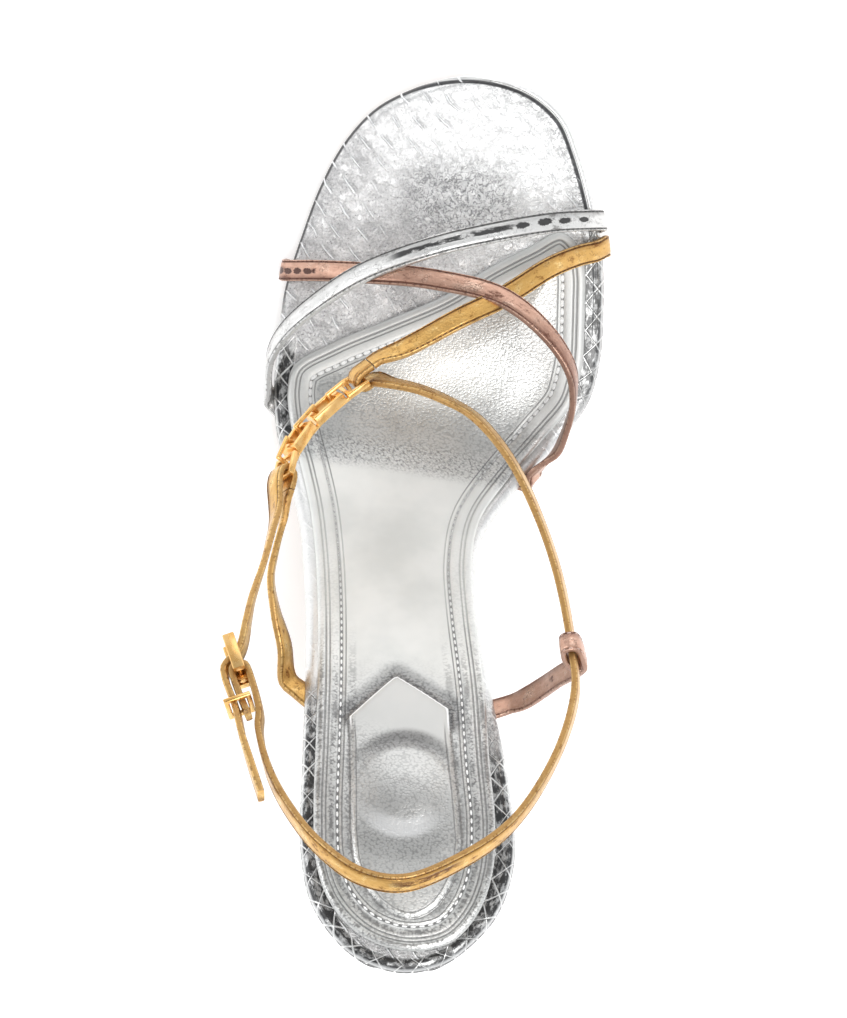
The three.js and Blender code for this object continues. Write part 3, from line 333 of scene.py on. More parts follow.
def tuck_stations(name):
    """Stations of a strap end that goes round the insole's edge and in under it, innermost first"""
    side, share, drift, upright = TUCKS[name]
    length = share * SOLE_LENGTH
    across, out_across, out_length = BOARD.side(side, length)
    side_out = CLEARANCE + POCKET_CLEARANCE / 4 + STRAP_THICKNESS / 2
    under = -BOARD_THICKNESS + TUCK_LIFT
    arc_out = side_out - FOLD_RADIUS
    rows = [(arc_out - TUCK_DEPTH, under, -90), (arc_out - TUCK_DEPTH / 2, under, -90),
            (arc_out, under, -90)]
    if upright:
        half = math.radians(45)
        rows += [(arc_out + FOLD_RADIUS * math.sin(half),
                  under + FOLD_RADIUS * (1 - math.cos(half)), -45),
                 (side_out, under + FOLD_RADIUS, 0), (side_out, 0, 0)]
    else:
        rows += [(side_out, under + CLEARANCE / 2, -85),
                 (2 * side_out + FOLD_RADIUS, under + 2 * CLEARANCE, -72)]
    travel, stations, last = 0, [], rows[-1]
    for row in reversed(rows):
        out, lift, face = row
        travel += math.hypot(out - last[0], lift - last[1])
        last = row
        place = (length + out * out_length + drift * travel, across + out * out_across)
        point = sole_point(*place, lift)
        outward = sole_point(place[0] + out_length, place[1] + out_across, lift) - point
        up = sole_point(*place, lift + 1) - point
        turn = math.radians(face)
        stations.insert(0, (point, outward.normalized() * math.cos(turn)
                            + up.normalized() * math.sin(turn)))
    return stations


def piece_axes(heading, climb, lean):
    """Length, width and outer face of a hard piece"""
    length = aim(heading, climb)
    side = length.cross(Vector((0, 0, 1))).normalized()
    up = side.cross(length)
    tilt = math.radians(lean)
    return (length, up * math.cos(tilt) - side * math.sin(tilt),
            side * math.cos(tilt) + up * math.sin(tilt))


def chain_ends():
    """Bar and axes of the front and the rear ring"""
    start, before, placed = foot_point(*CHAIN_START, VAMP_RISE), None, []
    for length, heading, climb in CHAIN_ROWS:
        axes = piece_axes(heading, climb, CHAIN_LEAN)
        if before:
            gap = CLEARANCE + RING_WIDTH * math.tan(before.angle(axes[0]) / 2)
            start = start + (before + axes[0]) * (gap / 2)
        placed.append((start + axes[0] * (length / 2), axes))
        start, before = start + axes[0] * length, axes[0]
    reach = (RING_LENGTH - RING_BAR) / 2
    (front, front_axes), (rear, rear_axes) = placed[0], placed[-1]
    return (front - front_axes[0] * reach, front_axes), (rear + rear_axes[0] * reach, rear_axes)


(FRONT_BAR, FRONT_AXES), (REAR_BAR, REAR_AXES) = chain_ends()
BUCKLE_AXES = piece_axes(*BUCKLE_AIM)
BUCKLE_CENTRE = foot_point(*BUCKLE_PLACE, ANKLE_RISE)


def hook_stations(bar, axes, ahead, side):
    """Strap end folded round a ring's bar, from the incoming side to the outgoing leg"""
    stations = []

    def add(along, out, angle):
        turn = math.radians(angle)
        stations.append((bar + axes[0] * (ahead * along) + axes[2] * (side * out),
                         axes[0] * (-ahead * math.cos(turn)) - axes[2] * (side * math.sin(turn))))

    add(-2, RING_HOOK_RADIUS, 90)
    add(0, RING_HOOK_RADIUS, 90)
    for angle in (60, 30, 0, -30, -60):
        turn = math.radians(angle)
        add(RING_HOOK_RADIUS * math.cos(turn), RING_HOOK_RADIUS * math.sin(turn), angle)
    add(0, -RING_HOOK_RADIUS, -90)
    add(-FOLD_LEG, -RING_HOOK_RADIUS, -90)
    return stations


def buckle_stations(rows):
    """Stations in the buckle's plane: along, out and the angle of the face"""
    return [(BUCKLE_CENTRE + BUCKLE_AXES[0] * along + BUCKLE_AXES[2] * out,
             BUCKLE_AXES[2] * math.cos(math.radians(face))
             + BUCKLE_AXES[0] * math.sin(math.radians(face))) for along, out, face in rows]


ROD_PLACE = BUCKLE_LENGTH / 2 - ROD_RADIUS - CLEARANCE
FRONT_BAR_PLACE = -BUCKLE_LENGTH / 2 + BUCKLE_BAR / 2 + EDGE_BEVEL
KEEPER_ALONG = ROD_PLACE + KEEPER_DISTANCE
LEG_OUT = KEEPER_WIRE / 2 + CLEARANCE + STRAP_THICKNESS / 2
TAIL_OUT = HOOK_RADIUS + STRAP_THICKNESS + CLEARANCE
KEEPER_TAIL_OUT = LEG_OUT + STRAP_THICKNESS + CLEARANCE


def gold_vamp_stations():
    end = -FOLD_LEG - SEAM_GAP
    joined = [(FRONT_BAR + FRONT_AXES[0] * along + FRONT_AXES[2] * RING_HOOK_RADIUS, FRONT_AXES[2])
              for along in (end - RING_HOOK_RADIUS, end)]
    return tuck_stations("gold_medial") + vamp_stations(GOLD_ROUTE) + joined


def ankle_stations():
    t = STRAP_THICKNESS
    fold = [(KEEPER_ALONG + 5 * t, 0.1 * t, 0), (KEEPER_ALONG + 2.5 * t, -0.7 * LEG_OUT, 0),
            (KEEPER_ALONG, -LEG_OUT, 0), (ROD_PLACE + FOLD_LEG, -HOOK_RADIUS, 0),
            (ROD_PLACE, -HOOK_RADIUS, 0)]
    fold += [(ROD_PLACE - HOOK_RADIUS * math.sin(math.radians(a)),
              -HOOK_RADIUS * math.cos(math.radians(a)), a) for a in (30, 60, 90, 120, 150)]
    fold += [(ROD_PLACE, HOOK_RADIUS, 180), (ROD_PLACE + FOLD_LEG, HOOK_RADIUS, 180),
             (KEEPER_ALONG, LEG_OUT, 180), (KEEPER_ALONG + 2 * t, 0.85 * LEG_OUT, 180)]
    hook = hook_stations(FRONT_BAR, FRONT_AXES, 1, -1)[::-1]
    return hook + edge_stations(ANKLE_ROUTE) + buckle_stations(fold)


def buckle_strap_stations():
    t = STRAP_THICKNESS
    inside = -BUCKLE_BAR / 2 - CLEARANCE - t / 2
    through = [(FRONT_BAR_PLACE + past * t, inside + rise * t, face) for past, rise, face in (
        (-2.6, -1.7, -28), (-1.1, -1.0, -30), (0.6, -0.06, -30), (1.7, 0.96, -42),
        (2.55, 2.35, -52), (3.4, 3.3, -40))]
    through += [(ROD_PLACE, TAIL_OUT, -8), (ROD_PLACE + FOLD_LEG, TAIL_OUT, 0),
                (KEEPER_ALONG, KEEPER_TAIL_OUT, 4)]
    hook = [(point, -face) for point, face in hook_stations(REAR_BAR, REAR_AXES, -1, 1)[::-1]]
    return (hook + edge_stations(BUCKLE_STRAP_ROUTE) + buckle_stations(through)
            + edge_stations(TAIL_ROUTE))


def lateral_anchor_stations():
    end = FOLD_LEG + SEAM_GAP
    joined = [(REAR_BAR + REAR_AXES[0] * along - REAR_AXES[2] * RING_HOOK_RADIUS, REAR_AXES[2])
              for along in (end, end + FOLD_RADIUS)]
    return (joined + vamp_stations(LATERAL_ANCHOR_ROUTE, ANKLE_RISE)
            + tuck_stations("anchor_lateral")[::-1])


def medial_anchor_stations():
    """Stem and the loop that the ankle strap runs through, as one folded strap"""
    ankle = edge_stations(ANKLE_ROUTE)
    curve = curve_through([point for point, _ in ankle])
    point, facing = ankle[MEDIAL_LOOP_ROW]
    tangent = tangent_of(curve, MEDIAL_LOOP_ROW / (len(ankle) - 1))
    facing = (facing - tangent * facing.dot(tangent)).normalized()
    upward = tangent.cross(facing)
    if upward.z < 0:
        upward = -upward
    out = STRAP_THICKNESS / 2 + CLEARANCE + LOOP_THICKNESS / 2
    up = STRAP_WIDTH / 2 + CLEARANCE + LOOP_THICKNESS / 2
    rows = [(0.9, -1.34, 0), (1.08, -0.5, 0), (1.08, 0.5, 0), (0.75, 0.98, 45), (0, 1.1, 90),
            (-0.75, 0.98, 135), (-1.08, 0.5, 180), (-1.08, -0.5, 180), (-0.65, -1.17, 200),
            (0.2, -1.54, 215)]
    loop = [(point + facing * (o * out) + upward * (u * up),
             facing * math.cos(math.radians(a)) + upward * math.sin(math.radians(a)))
            for o, u, a in rows]
    return (tuck_stations("anchor_medial") + vamp_stations(MEDIAL_ANCHOR_ROUTE, ANKLE_RISE) + loop)


def strap_frames(stations, step=1.4):
    """Point, tangent, face, width direction and run along a strap"""
    curve = curve_through([point for point, _ in stations])
    spans = len(stations) - 1
    places = []
    for k in range(spans):
        steps = math.ceil((stations[k + 1][0] - stations[k][0]).length / step)
        places += [(k, i / steps) for i in range(steps)]
    places.append((spans - 1, 1.0))
    frames, run, before = [], 0, None
    for k, mix in places:
        share = (k + mix) / spans
        point, tangent = curve(share), tangent_of(curve, share)
        facing = stations[k][1].lerp(stations[k + 1][1], mix)
        facing = (facing - tangent * facing.dot(tangent)).normalized()
        run += (point - before).length if before else 0
        before = point
        frames.append([point, tangent, facing, tangent.cross(facing), run])
    for _ in range(2):
        faces = [f[2] for f in frames]
        for i in range(1, len(frames) - 1):
            facing = faces[i - 1] + 2 * faces[i] + faces[i + 1]
            tangent = frames[i][1]
            facing = (facing - tangent * facing.dot(tangent)).normalized()
            frames[i][2:4] = [facing, tangent.cross(facing)]
    return frames


# Modelling steps

def select(piece):
    """Makes one piece the only selected object"""
    if bpy.context.object and bpy.context.object.mode != "OBJECT":
        bpy.ops.object.mode_set(mode="OBJECT")
    bpy.ops.object.select_all(action="DESELECT")
    piece.select_set(True)
    bpy.context.view_layer.objects.active = piece


def edit(piece, mode="VERT"):
    select(piece)
    bpy.ops.object.mode_set(mode="EDIT")
    bpy.ops.mesh.select_mode(type=mode)
    bpy.ops.mesh.select_all(action="SELECT")


def close_edit():
    bpy.ops.mesh.select_all(action="SELECT")
    bpy.ops.mesh.normals_make_consistent(inside=False)
    bpy.ops.object.mode_set(mode="OBJECT")


def new_piece(name):
    piece = bpy.context.object
    piece.name = name
    piece.data.name = name
    return piece


def place_vertices(piece, points):
    piece.data.vertices.foreach_set("co", np.asarray(points, np.float32).ravel())
    piece.data.update()


def vertex_places(piece):
    places = np.empty(len(piece.data.vertices) * 3, np.float32)
    piece.data.vertices.foreach_get("co", places)
    return places.reshape(-1, 3).astype(float)


def write_chart(piece, name, rows):
    """Vertex attribute that a material reads: three values in metres"""
    chart = piece.data.attributes.new(name, "FLOAT_VECTOR", "POINT")
    chart.data.foreach_set("vector", np.asarray(rows, np.float32).ravel())


def smooth(piece, angle):
    select(piece)
    bpy.ops.object.shade_smooth_by_angle(angle=math.radians(angle))


def finish_modifiers(piece):
    select(piece)
    for modifier in list(piece.modifiers):
        bpy.ops.object.modifier_apply(modifier=modifier.name)


def add_bevel(piece, width, segments=2, angle=30):
    bevel = piece.modifiers.new("edge", "BEVEL")
    bevel.width = width * MM
    bevel.segments = segments
    bevel.limit_method = "ANGLE"
    bevel.angle_limit = math.radians(angle)


# Strap section, as shares of half the width and half the thickness: folded edges, a sunk seam by
# each edge and a slightly full middle
STRAP_PROFILE = [
    (1.0, 0.15), (0.985, 0.55), (0.93, 0.86), (0.87, 0.9), (0.81, 0.6), (0.75, 0.88), (0.45, 1.0),
    (0.0, 1.03), (-0.45, 1.0), (-0.75, 0.88), (-0.81, 0.6), (-0.87, 0.9), (-0.93, 0.86),
    (-0.985, 0.55), (-1.0, 0.15), (-1.0, -0.3), (-0.97, -0.7), (-0.88, -0.95), (-0.4, -1.0),
    (0.4, -1.0), (0.88, -0.95), (0.97, -0.7), (1.0, -0.3),
]
SEAM_ACROSS = 0.81
SEAM_OUT = 0.74
SMOOTH_ANGLE = 35
STRAP_SMOOTH_ANGLE = 50


def turn_selection(rotation, centre):
    """Turns what is selected about a point; the operator counts angles the other way"""
    for axis, angle in zip("XYZ", rotation.to_euler("XYZ")):
        if abs(angle) > 1e-6:
            bpy.ops.transform.rotate(value=-angle, orient_axis=axis, center_override=centre)


def sweep_strap(name, stations, thickness=STRAP_THICKNESS, width=STRAP_WIDTH):
    """Strap drawn as its section and extruded from station to station"""
    frames = strap_frames(stations)
    half_width, half_thickness = width / 2, thickness / 2
    section = [(w * half_width, t * half_thickness) for w, t in STRAP_PROFILE]

    def corner(f, w, t):
        return (f[0] + f[3] * w + f[2] * t) * MM

    bpy.ops.mesh.primitive_circle_add(vertices=len(section), radius=MM, fill_type="NGON")
    strap = new_piece(name)
    place_vertices(strap, [corner(frames[0], w, t) for w, t in section])
    edit(strap, "FACE")
    for before, after in zip(frames, frames[1:]):
        bpy.ops.mesh.extrude_region_move(
            TRANSFORM_OT_translate={"value": (after[0] - before[0]) * MM})
        basis = [Matrix((f[3], f[2], f[1])).transposed() for f in (before, after)]
        turn_selection(basis[1] @ basis[0].transposed(), after[0] * MM)
    close_edit()
    tree = KDTree(len(frames) * len(section))
    rows = []
    for f in frames:
        for w, t in section:
            tree.insert(corner(f, w, t), len(rows))
            rows.append((f[4] * MM, w * MM, t * MM))
    tree.balance()
    write_chart(strap, "strap_chart", [rows[tree.find(v.co)[1]] for v in strap.data.vertices])
    smooth(strap, STRAP_SMOOTH_ANGLE)
    return strap, frames


def frame_at(frames, run):
    """Place and axes at a run along a strap"""
    runs = [f[4] for f in frames]
    k = min(max(int(np.searchsorted(runs, run)), 1), len(frames) - 1)
    mix = (run - runs[k - 1]) / (runs[k] - runs[k - 1])
    point, tangent, facing = (frames[k - 1][i].lerp(frames[k][i], mix) for i in range(3))
    return point, tangent.normalized(), facing.normalized()


# Length, width and height of a stitch, and the run that each takes with its gap
STRAP_STITCH = (0.95, 0.26, 0.26)
SOCK_STITCH = (1.35, 0.55, 0.45)
FRONT_STITCH = (1.9, 1.0, 0.8)
STRAP_PITCH = 1.5
SOCK_PITCH = 2.05
FRONT_LENGTH = 150
STITCH_LIFT = 0.08


def sew(name, places, size):
    """Row of stitches: one is modelled and copied to each place (point, direction, up)"""
    bpy.ops.mesh.primitive_uv_sphere_add(segments=8, ring_count=6, radius=0.5 * MM)
    stitch = new_piece(name)
    bpy.ops.object.mode_set(mode="EDIT")
    bpy.ops.mesh.select_all(action="SELECT")
    bpy.ops.transform.rotate(value=math.radians(90), orient_axis="Y", center_override=(0, 0, 0))
    bpy.ops.transform.resize(value=size)
    bpy.ops.object.mode_set(mode="OBJECT")
    bpy.ops.object.shade_smooth()
    copies = []
    for point, direction, up in places:
        across = up.cross(direction).normalized()
        up = direction.cross(across).normalized()
        copy = bpy.data.objects.new(name, stitch.data.copy())
        bpy.context.collection.objects.link(copy)
        turned = Matrix((direction.normalized(), across, up)).transposed().to_4x4()
        copy.data.transform(Matrix.Translation(point * MM) @ turned)
        copies.append(copy)
    bpy.ops.object.select_all(action="DESELECT")
    for copy in copies:
        copy.select_set(True)
    bpy.context.view_layer.objects.active = copies[0]
    bpy.ops.object.join()
    bpy.data.objects.remove(stitch)
    return new_piece(name)


def strap_stitches(name, frames, first, last, thickness=STRAP_THICKNESS, faces=(1,)):
    """Stitches along both seams, from one run to another, on one face of a strap or on both"""
    places = []
    count = int((frames[-1][4] - first - last) / STRAP_PITCH)
    for i in range(count):
        point, tangent, facing = frame_at(frames, first + (i + 0.5) * STRAP_PITCH)
        across = tangent.cross(facing)
        for side in (-1, 1):
            for face in faces:
                place = (point + across * (side * SEAM_ACROSS * STRAP_WIDTH / 2)
                         + facing * (face * SEAM_OUT * thickness / 2))
                places.append((place, tangent, facing * face))
    return sew(name, places, STRAP_STITCH)


def ease(value, low, high):
    """Soft step from 0 to 1"""
    t = np.clip((np.asarray(value, float) - low) / (high - low), 0, 1)
    return t * t * (3 - 2 * t)


def ridge(value, centre, width):
    return np.exp(-((np.asarray(value, float) - centre) / width) ** 2)


class Polygon:
    """Closed flat shape of the heel panel, with the signed distance inside it"""

    def __init__(self, points):
        self.points = np.array([(across, length) for length, across in points], float)

    def inside(self, points):
        a, b = self.points, np.roll(self.points, -1, axis=0)
        distance = np.full(len(points), 1e9)
        crossings = np.zeros(len(points), bool)
        for start, end in zip(a, b):
            span = end - start
            t = np.clip(((points - start) @ span) / (span @ span), 0, 1)
            gap = np.linalg.norm(points - start - t[:, None] * span, axis=1)
            distance = np.minimum(distance, gap)
            level = (start[1] > points[:, 1]) != (end[1] > points[:, 1])
            if start[1] != end[1]:
                at = start[0] + (points[:, 1] - start[1]) / (end[1] - start[1]) * span[0]
                crossings ^= level & (points[:, 0] < at)
        return np.where(crossings, distance, -distance)


# Raised panel at the heel: length and across in millimetres
PANEL = Polygon([
    (73.5, -3.6), (61.6, -13.8), (55, -12.9), (42.4, -11.9), (33, -11.2), (26, -10.1), (21.5, -8.5),
    (18.2, -6.3), (15.4, -3.6), (13.4, -0.6), (12.4, 2.6), (12.7, 5.2), (13.9, 7.6), (15.8, 9.7),
    (18.5, 11.4), (22, 12.9), (26.5, 14), (31.6, 14.2), (44, 12.4), (56.7, 10.2), (65.3, 9.2),
])
DOME_PLACE = (0.3, 43.5)
DOME_RADIUS = 11.5
DOME_RISE = 1.2
PANEL_RISE = 0.45
STITCH_INSET = 5.6
CHANNEL_DEPTH = 0.3
CHANNEL_WIDTH = 0.45
SOCK_CROWN = 0.5
GROOVE_INSET = 1.6


def sock_relief(across, length, distance):
    """Lift of the padded sock's top over the insole, before its edge rounds off"""
    lift = CLEARANCE + FOOTBED_THICKNESS - 0.3 + SOCK_CROWN * ease(distance, 6, 16)
    lift -= CHANNEL_DEPTH * ridge(distance, STITCH_INSET, CHANNEL_WIDTH)
    lift -= 0.12 * ridge(distance, 2.0, 0.3) + 0.1 * ridge(distance, 2.9, 0.3)
    inside = PANEL.inside(np.stack([across, length], axis=-1))
    upper = ease(length, 58, 63)
    lift += PANEL_RISE * ease(inside, -0.4, 0.5)
    lift -= 0.65 * upper * ridge(inside, -1.7, 1.5) + 0.2 * (1 - upper) * ridge(inside, -0.7, 0.5)
    from_dome = np.hypot(across - DOME_PLACE[0], length - DOME_PLACE[1])
    lift += DOME_RISE * (1 - ease(from_dome, 2, DOME_RADIUS))
    lift -= 0.4 * ridge(from_dome, 12.2, 1.3) * ease(length, 40, 52)
    return lift, inside


def board_relief(across, length, distance):
    """Lift of the insole cover's top, with its soft hand-laid creases and the toe's groove"""
    waves = (0.05 * np.sin(length / 5.3 + across / 7) * np.sin(across / 4.1 - length / 11)
             + 0.03 * np.sin(length / 2.1 - across / 3.3))
    lift = waves * ease(distance, 1, 6)
    lift -= 0.35 * ridge(distance, GROOVE_INSET, 0.35) * ease(length, 178, 190)
    return lift, np.zeros(len(across))


def make_plate(name, outline, rings, columns, bottom, rounding, relief, edge_middle):
    """Plate over the last, started as a sphere whose poles are the heel's and the toe's ends.

    relief gives the top's lift and one more value for the chart; edge_middle is the rim's lift"""
    bpy.ops.mesh.primitive_uv_sphere_add(segments=columns, ring_count=rings, radius=1)
    plate = new_piece(name)
    unit = vertex_places(plate)
    polar = np.arccos(np.clip(-unit[:, 2], -1, 1))
    turn = np.arctan2(unit[:, 1], unit[:, 0])
    first, last = outline.sides[1][0, 0], outline.sides[1][-1, 0]
    length = first + (last - first) * (1 - np.cos(polar)) / 2
    lateral, medial = outline.side(-1, length)[0], outline.side(1, length)[0]
    across = (lateral + medial) / 2 + (medial - lateral) / 2 * np.cos(turn)
    distance, run = outline.measure(np.stack([across, length], axis=-1))
    top, extra = relief(across, length, distance)
    near = np.clip(distance / rounding, 0, 1)
    rounded = np.sqrt(1 - (1 - near) ** 2)
    upward = np.sin(turn) >= -1e-9
    lift = np.where(upward, edge_middle + (top - edge_middle) * rounded,
                    edge_middle + (bottom - edge_middle) * rounded)
    place_vertices(plate, sole_points(length, across, lift) * MM)
    write_chart(plate, "flat", np.stack([across, length, lift], axis=-1) * MM)
    write_chart(plate, "rim", np.stack([run, distance, extra], axis=-1) * MM)
    edit(plate)
    close_edit()
    select(plate)
    bpy.ops.object.shade_smooth()
    return plate


insole_cover = make_plate(
    "insole_cover", BOARD, 240, 140, -BOARD_THICKNESS, 2.1,
    board_relief, -BOARD_THICKNESS / 2)
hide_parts("insole_board")

padded_sock = make_plate(
    "padded_sock", SOCK, 300, 160, CLEARANCE, 1.5,
    sock_relief, CLEARANCE + FOOTBED_THICKNESS * 0.45)
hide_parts("footbed")


def sock_point(across, length):
    distance, _ = SOCK.measure(np.array([[across, length]]))
    lift, _ = sock_relief(np.array([across]), np.array([length]), distance)
    return sole_point(length, across, float(lift[0]))


def sock_stitches():
    """Stitches round the sock, in its sunk channel"""
    inner = SOCK.loop - SOCK.normals * STITCH_INSET
    steps = np.linalg.norm(np.roll(inner, -1, axis=0) - inner, axis=1)
    run = np.concatenate([[0], np.cumsum(steps)])
    ring = np.concatenate([inner, inner[:1]])
    count = round(run[-1] / SOCK_PITCH)
    places, bold = [], []
    for i in range(count):
        ends = [np.array([np.interp(run[-1] * (i + part) / count, run, ring[:, k]) for k in (0, 1)])
                for part in (0.2, 0.5, 0.8)]
        start, middle, end = (sock_point(*place) for place in ends)
        up = sole_point(ends[1][1], ends[1][0], 5) - sole_point(ends[1][1], ends[1][0], 0)
        row = bold if ends[1][1] > FRONT_LENGTH else places
        up = up.normalized()
        row.append((middle + up * STITCH_LIFT, (end - start).normalized(), up))
    return (sew("sock_stitches", places, SOCK_STITCH),
            sew("sock_front_stitches", bold, FRONT_STITCH))


sock_thread, front_thread = sock_stitches()

SILVER_STATIONS = (tuck_stations("silver_medial") + vamp_stations(SILVER_ROUTE)
                   + tuck_stations("silver_lateral")[::-1])
ROSE_STATIONS = (tuck_stations("rose_lateral") + vamp_stations(ROSE_ROUTE)
                 + tuck_stations("rose_medial")[::-1])

silver_strap, silver_frames = sweep_strap("silver_vamp_strap", SILVER_STATIONS)
rose_strap, rose_frames = sweep_strap("rose_vamp_strap", ROSE_STATIONS)
gold_strap, gold_frames = sweep_strap("gold_vamp_strap", gold_vamp_stations())
ankle_strap, ankle_frames = sweep_strap("ankle_strap_leather", ankle_stations())
buckle_strap, buckle_frames = sweep_strap("buckle_strap_leather", buckle_strap_stations())
lateral_anchor, lateral_frames = sweep_strap("lateral_anchor_leather", lateral_anchor_stations())
medial_anchor, medial_frames = sweep_strap(
    "medial_anchor_leather", medial_anchor_stations(), thickness=LOOP_THICKNESS)


def punch_slot(strap, length, thickness, along, out):
    """Cuts the prong's opening through a strap, square to the buckle"""
    centre = BUCKLE_CENTRE + BUCKLE_AXES[0] * along + BUCKLE_AXES[2] * out
    halves = (length / 2, PRONG_WIDTH / 2 + CLEARANCE, thickness / 2)
    bpy.ops.object.select_all(action="DESELECT")
    bpy.ops.mesh.primitive_cube_add(size=2)
    punch = new_piece("slot_punch")
    place_vertices(punch, [
        (centre + sum((axis * half * step for axis, half, step in zip(
            BUCKLE_AXES, halves, vertex.co)), Vector())) * MM for vertex in punch.data.vertices])
    edit(punch)
    close_edit()
    before = KDTree(len(strap.data.vertices))
    for index, vertex in enumerate(strap.data.vertices):
        before.insert(vertex.co, index)
    before.balance()
    rows = [tuple(row.vector) for row in strap.data.attributes["strap_chart"].data]
    cut = strap.modifiers.new("prong_slot", "BOOLEAN")
    cut.operation = "DIFFERENCE"
    cut.solver = "EXACT"
    cut.object = punch
    finish_modifiers(strap)
    bpy.data.objects.remove(punch)
    chart = strap.data.attributes.get("strap_chart")
    if chart:
        strap.data.attributes.remove(chart)
    write_chart(strap, "strap_chart", [
        rows[before.find(vertex.co)[1]] for vertex in strap.data.vertices])


# Lift of the resting prong, and how many thicknesses past the front bar its hole is
PRONG_REST = BUCKLE_BAR / 2 + CLEARANCE + PRONG_THICKNESS / 2
SLOT_PAST = 2.45
punch_slot(ankle_strap, 2 * (HOOK_RADIUS + STRAP_THICKNESS), 2 * HOOK_RADIUS + 3 * STRAP_THICKNESS,
           ROD_PLACE, 0)
punch_slot(buckle_strap, HOLE_LENGTH, 3 * STRAP_THICKNESS,
           FRONT_BAR_PLACE + SLOT_PAST * STRAP_THICKNESS, PRONG_REST)

for piece, node in ((silver_strap, "upper"), (rose_strap, "upper"), (gold_strap, "upper"),
                    (ankle_strap, "ankle_strap"), (buckle_strap, "buckle_strap"),
                    (lateral_anchor, "lateral_anchor"), (medial_anchor, "medial_anchor")):
    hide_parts(node)

# Stitched straps: name, frames, where the stitches start and how far before the end they stop
TUCK_RUN = 10
STITCHED = (
    ("silver_strap", silver_frames, TUCK_RUN, TUCK_RUN),
    ("rose_strap", rose_frames, TUCK_RUN, TUCK_RUN), ("gold_strap", gold_frames, TUCK_RUN, 0.6),
    ("ankle_strap", ankle_frames, 0.5, 0.5), ("buckle_strap", buckle_frames, 0.5, 0.8),
    ("lateral_anchor", lateral_frames, 0.6, TUCK_RUN),
    ("medial_anchor", medial_frames, TUCK_RUN, 0.6, LOOP_THICKNESS, (1, -1)),
)
THREADS = {name: strap_stitches(name + "_stitches", *rest) for name, *rest in STITCHED}


# Covered heel: a column whose rings go from the tip's outline to the seat's

HEEL_SIDES = 128
HEEL_RINGS = 60
SIDE_STEPS = 40
BREAST_STEPS = 21
TIP_SIDES = 64
TIP_CENTRE = Vector((BOARD_ENDS[0][1] * BALL_WIDTH, HEEL_BACK + TIP_SETBACK + TIP_LENGTH / 2, 0))


def seat_loop():
    """Seat outline under the insole, from the back round the lateral side, evenly spaced"""
    last = HEEL_BREAST * SOLE_LENGTH
    share = 1 - np.cos(np.pi / 2 * np.arange(1, SIDE_STEPS + 1) / SIDE_STEPS)
    length = HEEL_INSET + (last - HEEL_INSET) * share
    sides = []
    for side in (-1, 1):
        across, out_across, _ = BOARD.side(side, length)
        sides.append(np.stack([across - HEEL_INSET * out_across, length], axis=-1))
    back = np.array([[BOARD_ENDS[0][1] * BALL_WIDTH, HEEL_INSET]])
    mix = np.linspace(0, 1, BREAST_STEPS + 1)[1:-1, None]
    breast = sides[0][-1] * (1 - mix) + sides[1][-1] * mix
    loop = np.concatenate([back, sides[0], breast, sides[1][::-1], back])
    run = np.concatenate([[0], np.cumsum(np.linalg.norm(np.diff(loop, axis=0), axis=1))])
    even = np.linspace(0, run[-1], HEEL_SIDES + 1)[:-1]
    flat = [np.interp(even, run, loop[:, k]) for k in (0, 1)]
    return sole_points(flat[1], flat[0], OUTSOLE_TOP)


def tip_loop(share, z, inset=0):
    angle = 2 * np.pi * share
    return np.stack([TIP_CENTRE.x - (TIP_WIDTH / 2 - inset) * np.sin(angle),
                     TIP_CENTRE.y - (TIP_LENGTH / 2 - inset) * np.cos(angle),
                     np.full(len(share), z)], axis=-1)


def make_column(name, sides, rings, place):
    """Column: a circle drawn and extruded ring by ring, then its vertices placed by ring and side
    """
    bpy.ops.mesh.primitive_circle_add(vertices=sides, radius=1, fill_type="NGON")
    column = new_piece(name)
    edit(column, "FACE")
    for _ in range(rings - 1):
        bpy.ops.mesh.extrude_region_move(TRANSFORM_OT_translate={"value": (0, 0, 1)})
    close_edit()
    places = vertex_places(column)
    ring = np.rint(places[:, 2]).astype(int)
    side = np.rint(np.arctan2(places[:, 0], places[:, 1]) / (2 * np.pi) * sides).astype(int) % sides
    place_vertices(column, place(ring, side) * MM)
    edit(column)
    close_edit()
    smooth(column, SMOOTH_ANGLE)
    return column


def heel_place(ring, side):
    seat = seat_loop()
    foot = tip_loop(np.arange(HEEL_SIDES) / HEEL_SIDES, TIP_THICKNESS + CLEARANCE)
    rows = np.array(HEEL_ROWS)
    up = 1 - (1 - np.clip(ring / (HEEL_RINGS - 1), 0, 1)) ** 1.3
    flare = np.interp(up, rows[:, 0], rows[:, 1])
    low, high = foot[side], seat[side]
    return np.concatenate([low[:, :2] + (high - low)[:, :2] * flare[:, None],
                           (low[:, 2] + (high - low)[:, 2] * up)[:, None]], axis=1)


covered_heel = make_column("covered_heel", HEEL_SIDES, HEEL_RINGS, heel_place)
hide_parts("heel")

# Top piece from the floor up: lift and inset of each ring
TIP_RINGS = [(0, 0.9), (0.25, 0.4), (0.6, 0.32), (2.2, 0.2), (4.2, 0.05), (4.75, 0.05), (5.0, 0.3)]


def heel_tip_place(ring, side):
    rows = np.array(TIP_RINGS)
    loops = np.stack([tip_loop(np.arange(TIP_SIDES) / TIP_SIDES, up, inset) for up, inset in rows])
    return loops[ring, side]


heel_tip = make_column("heel_top_piece", TIP_SIDES, len(TIP_RINGS), heel_tip_place)
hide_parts("heel_tip")


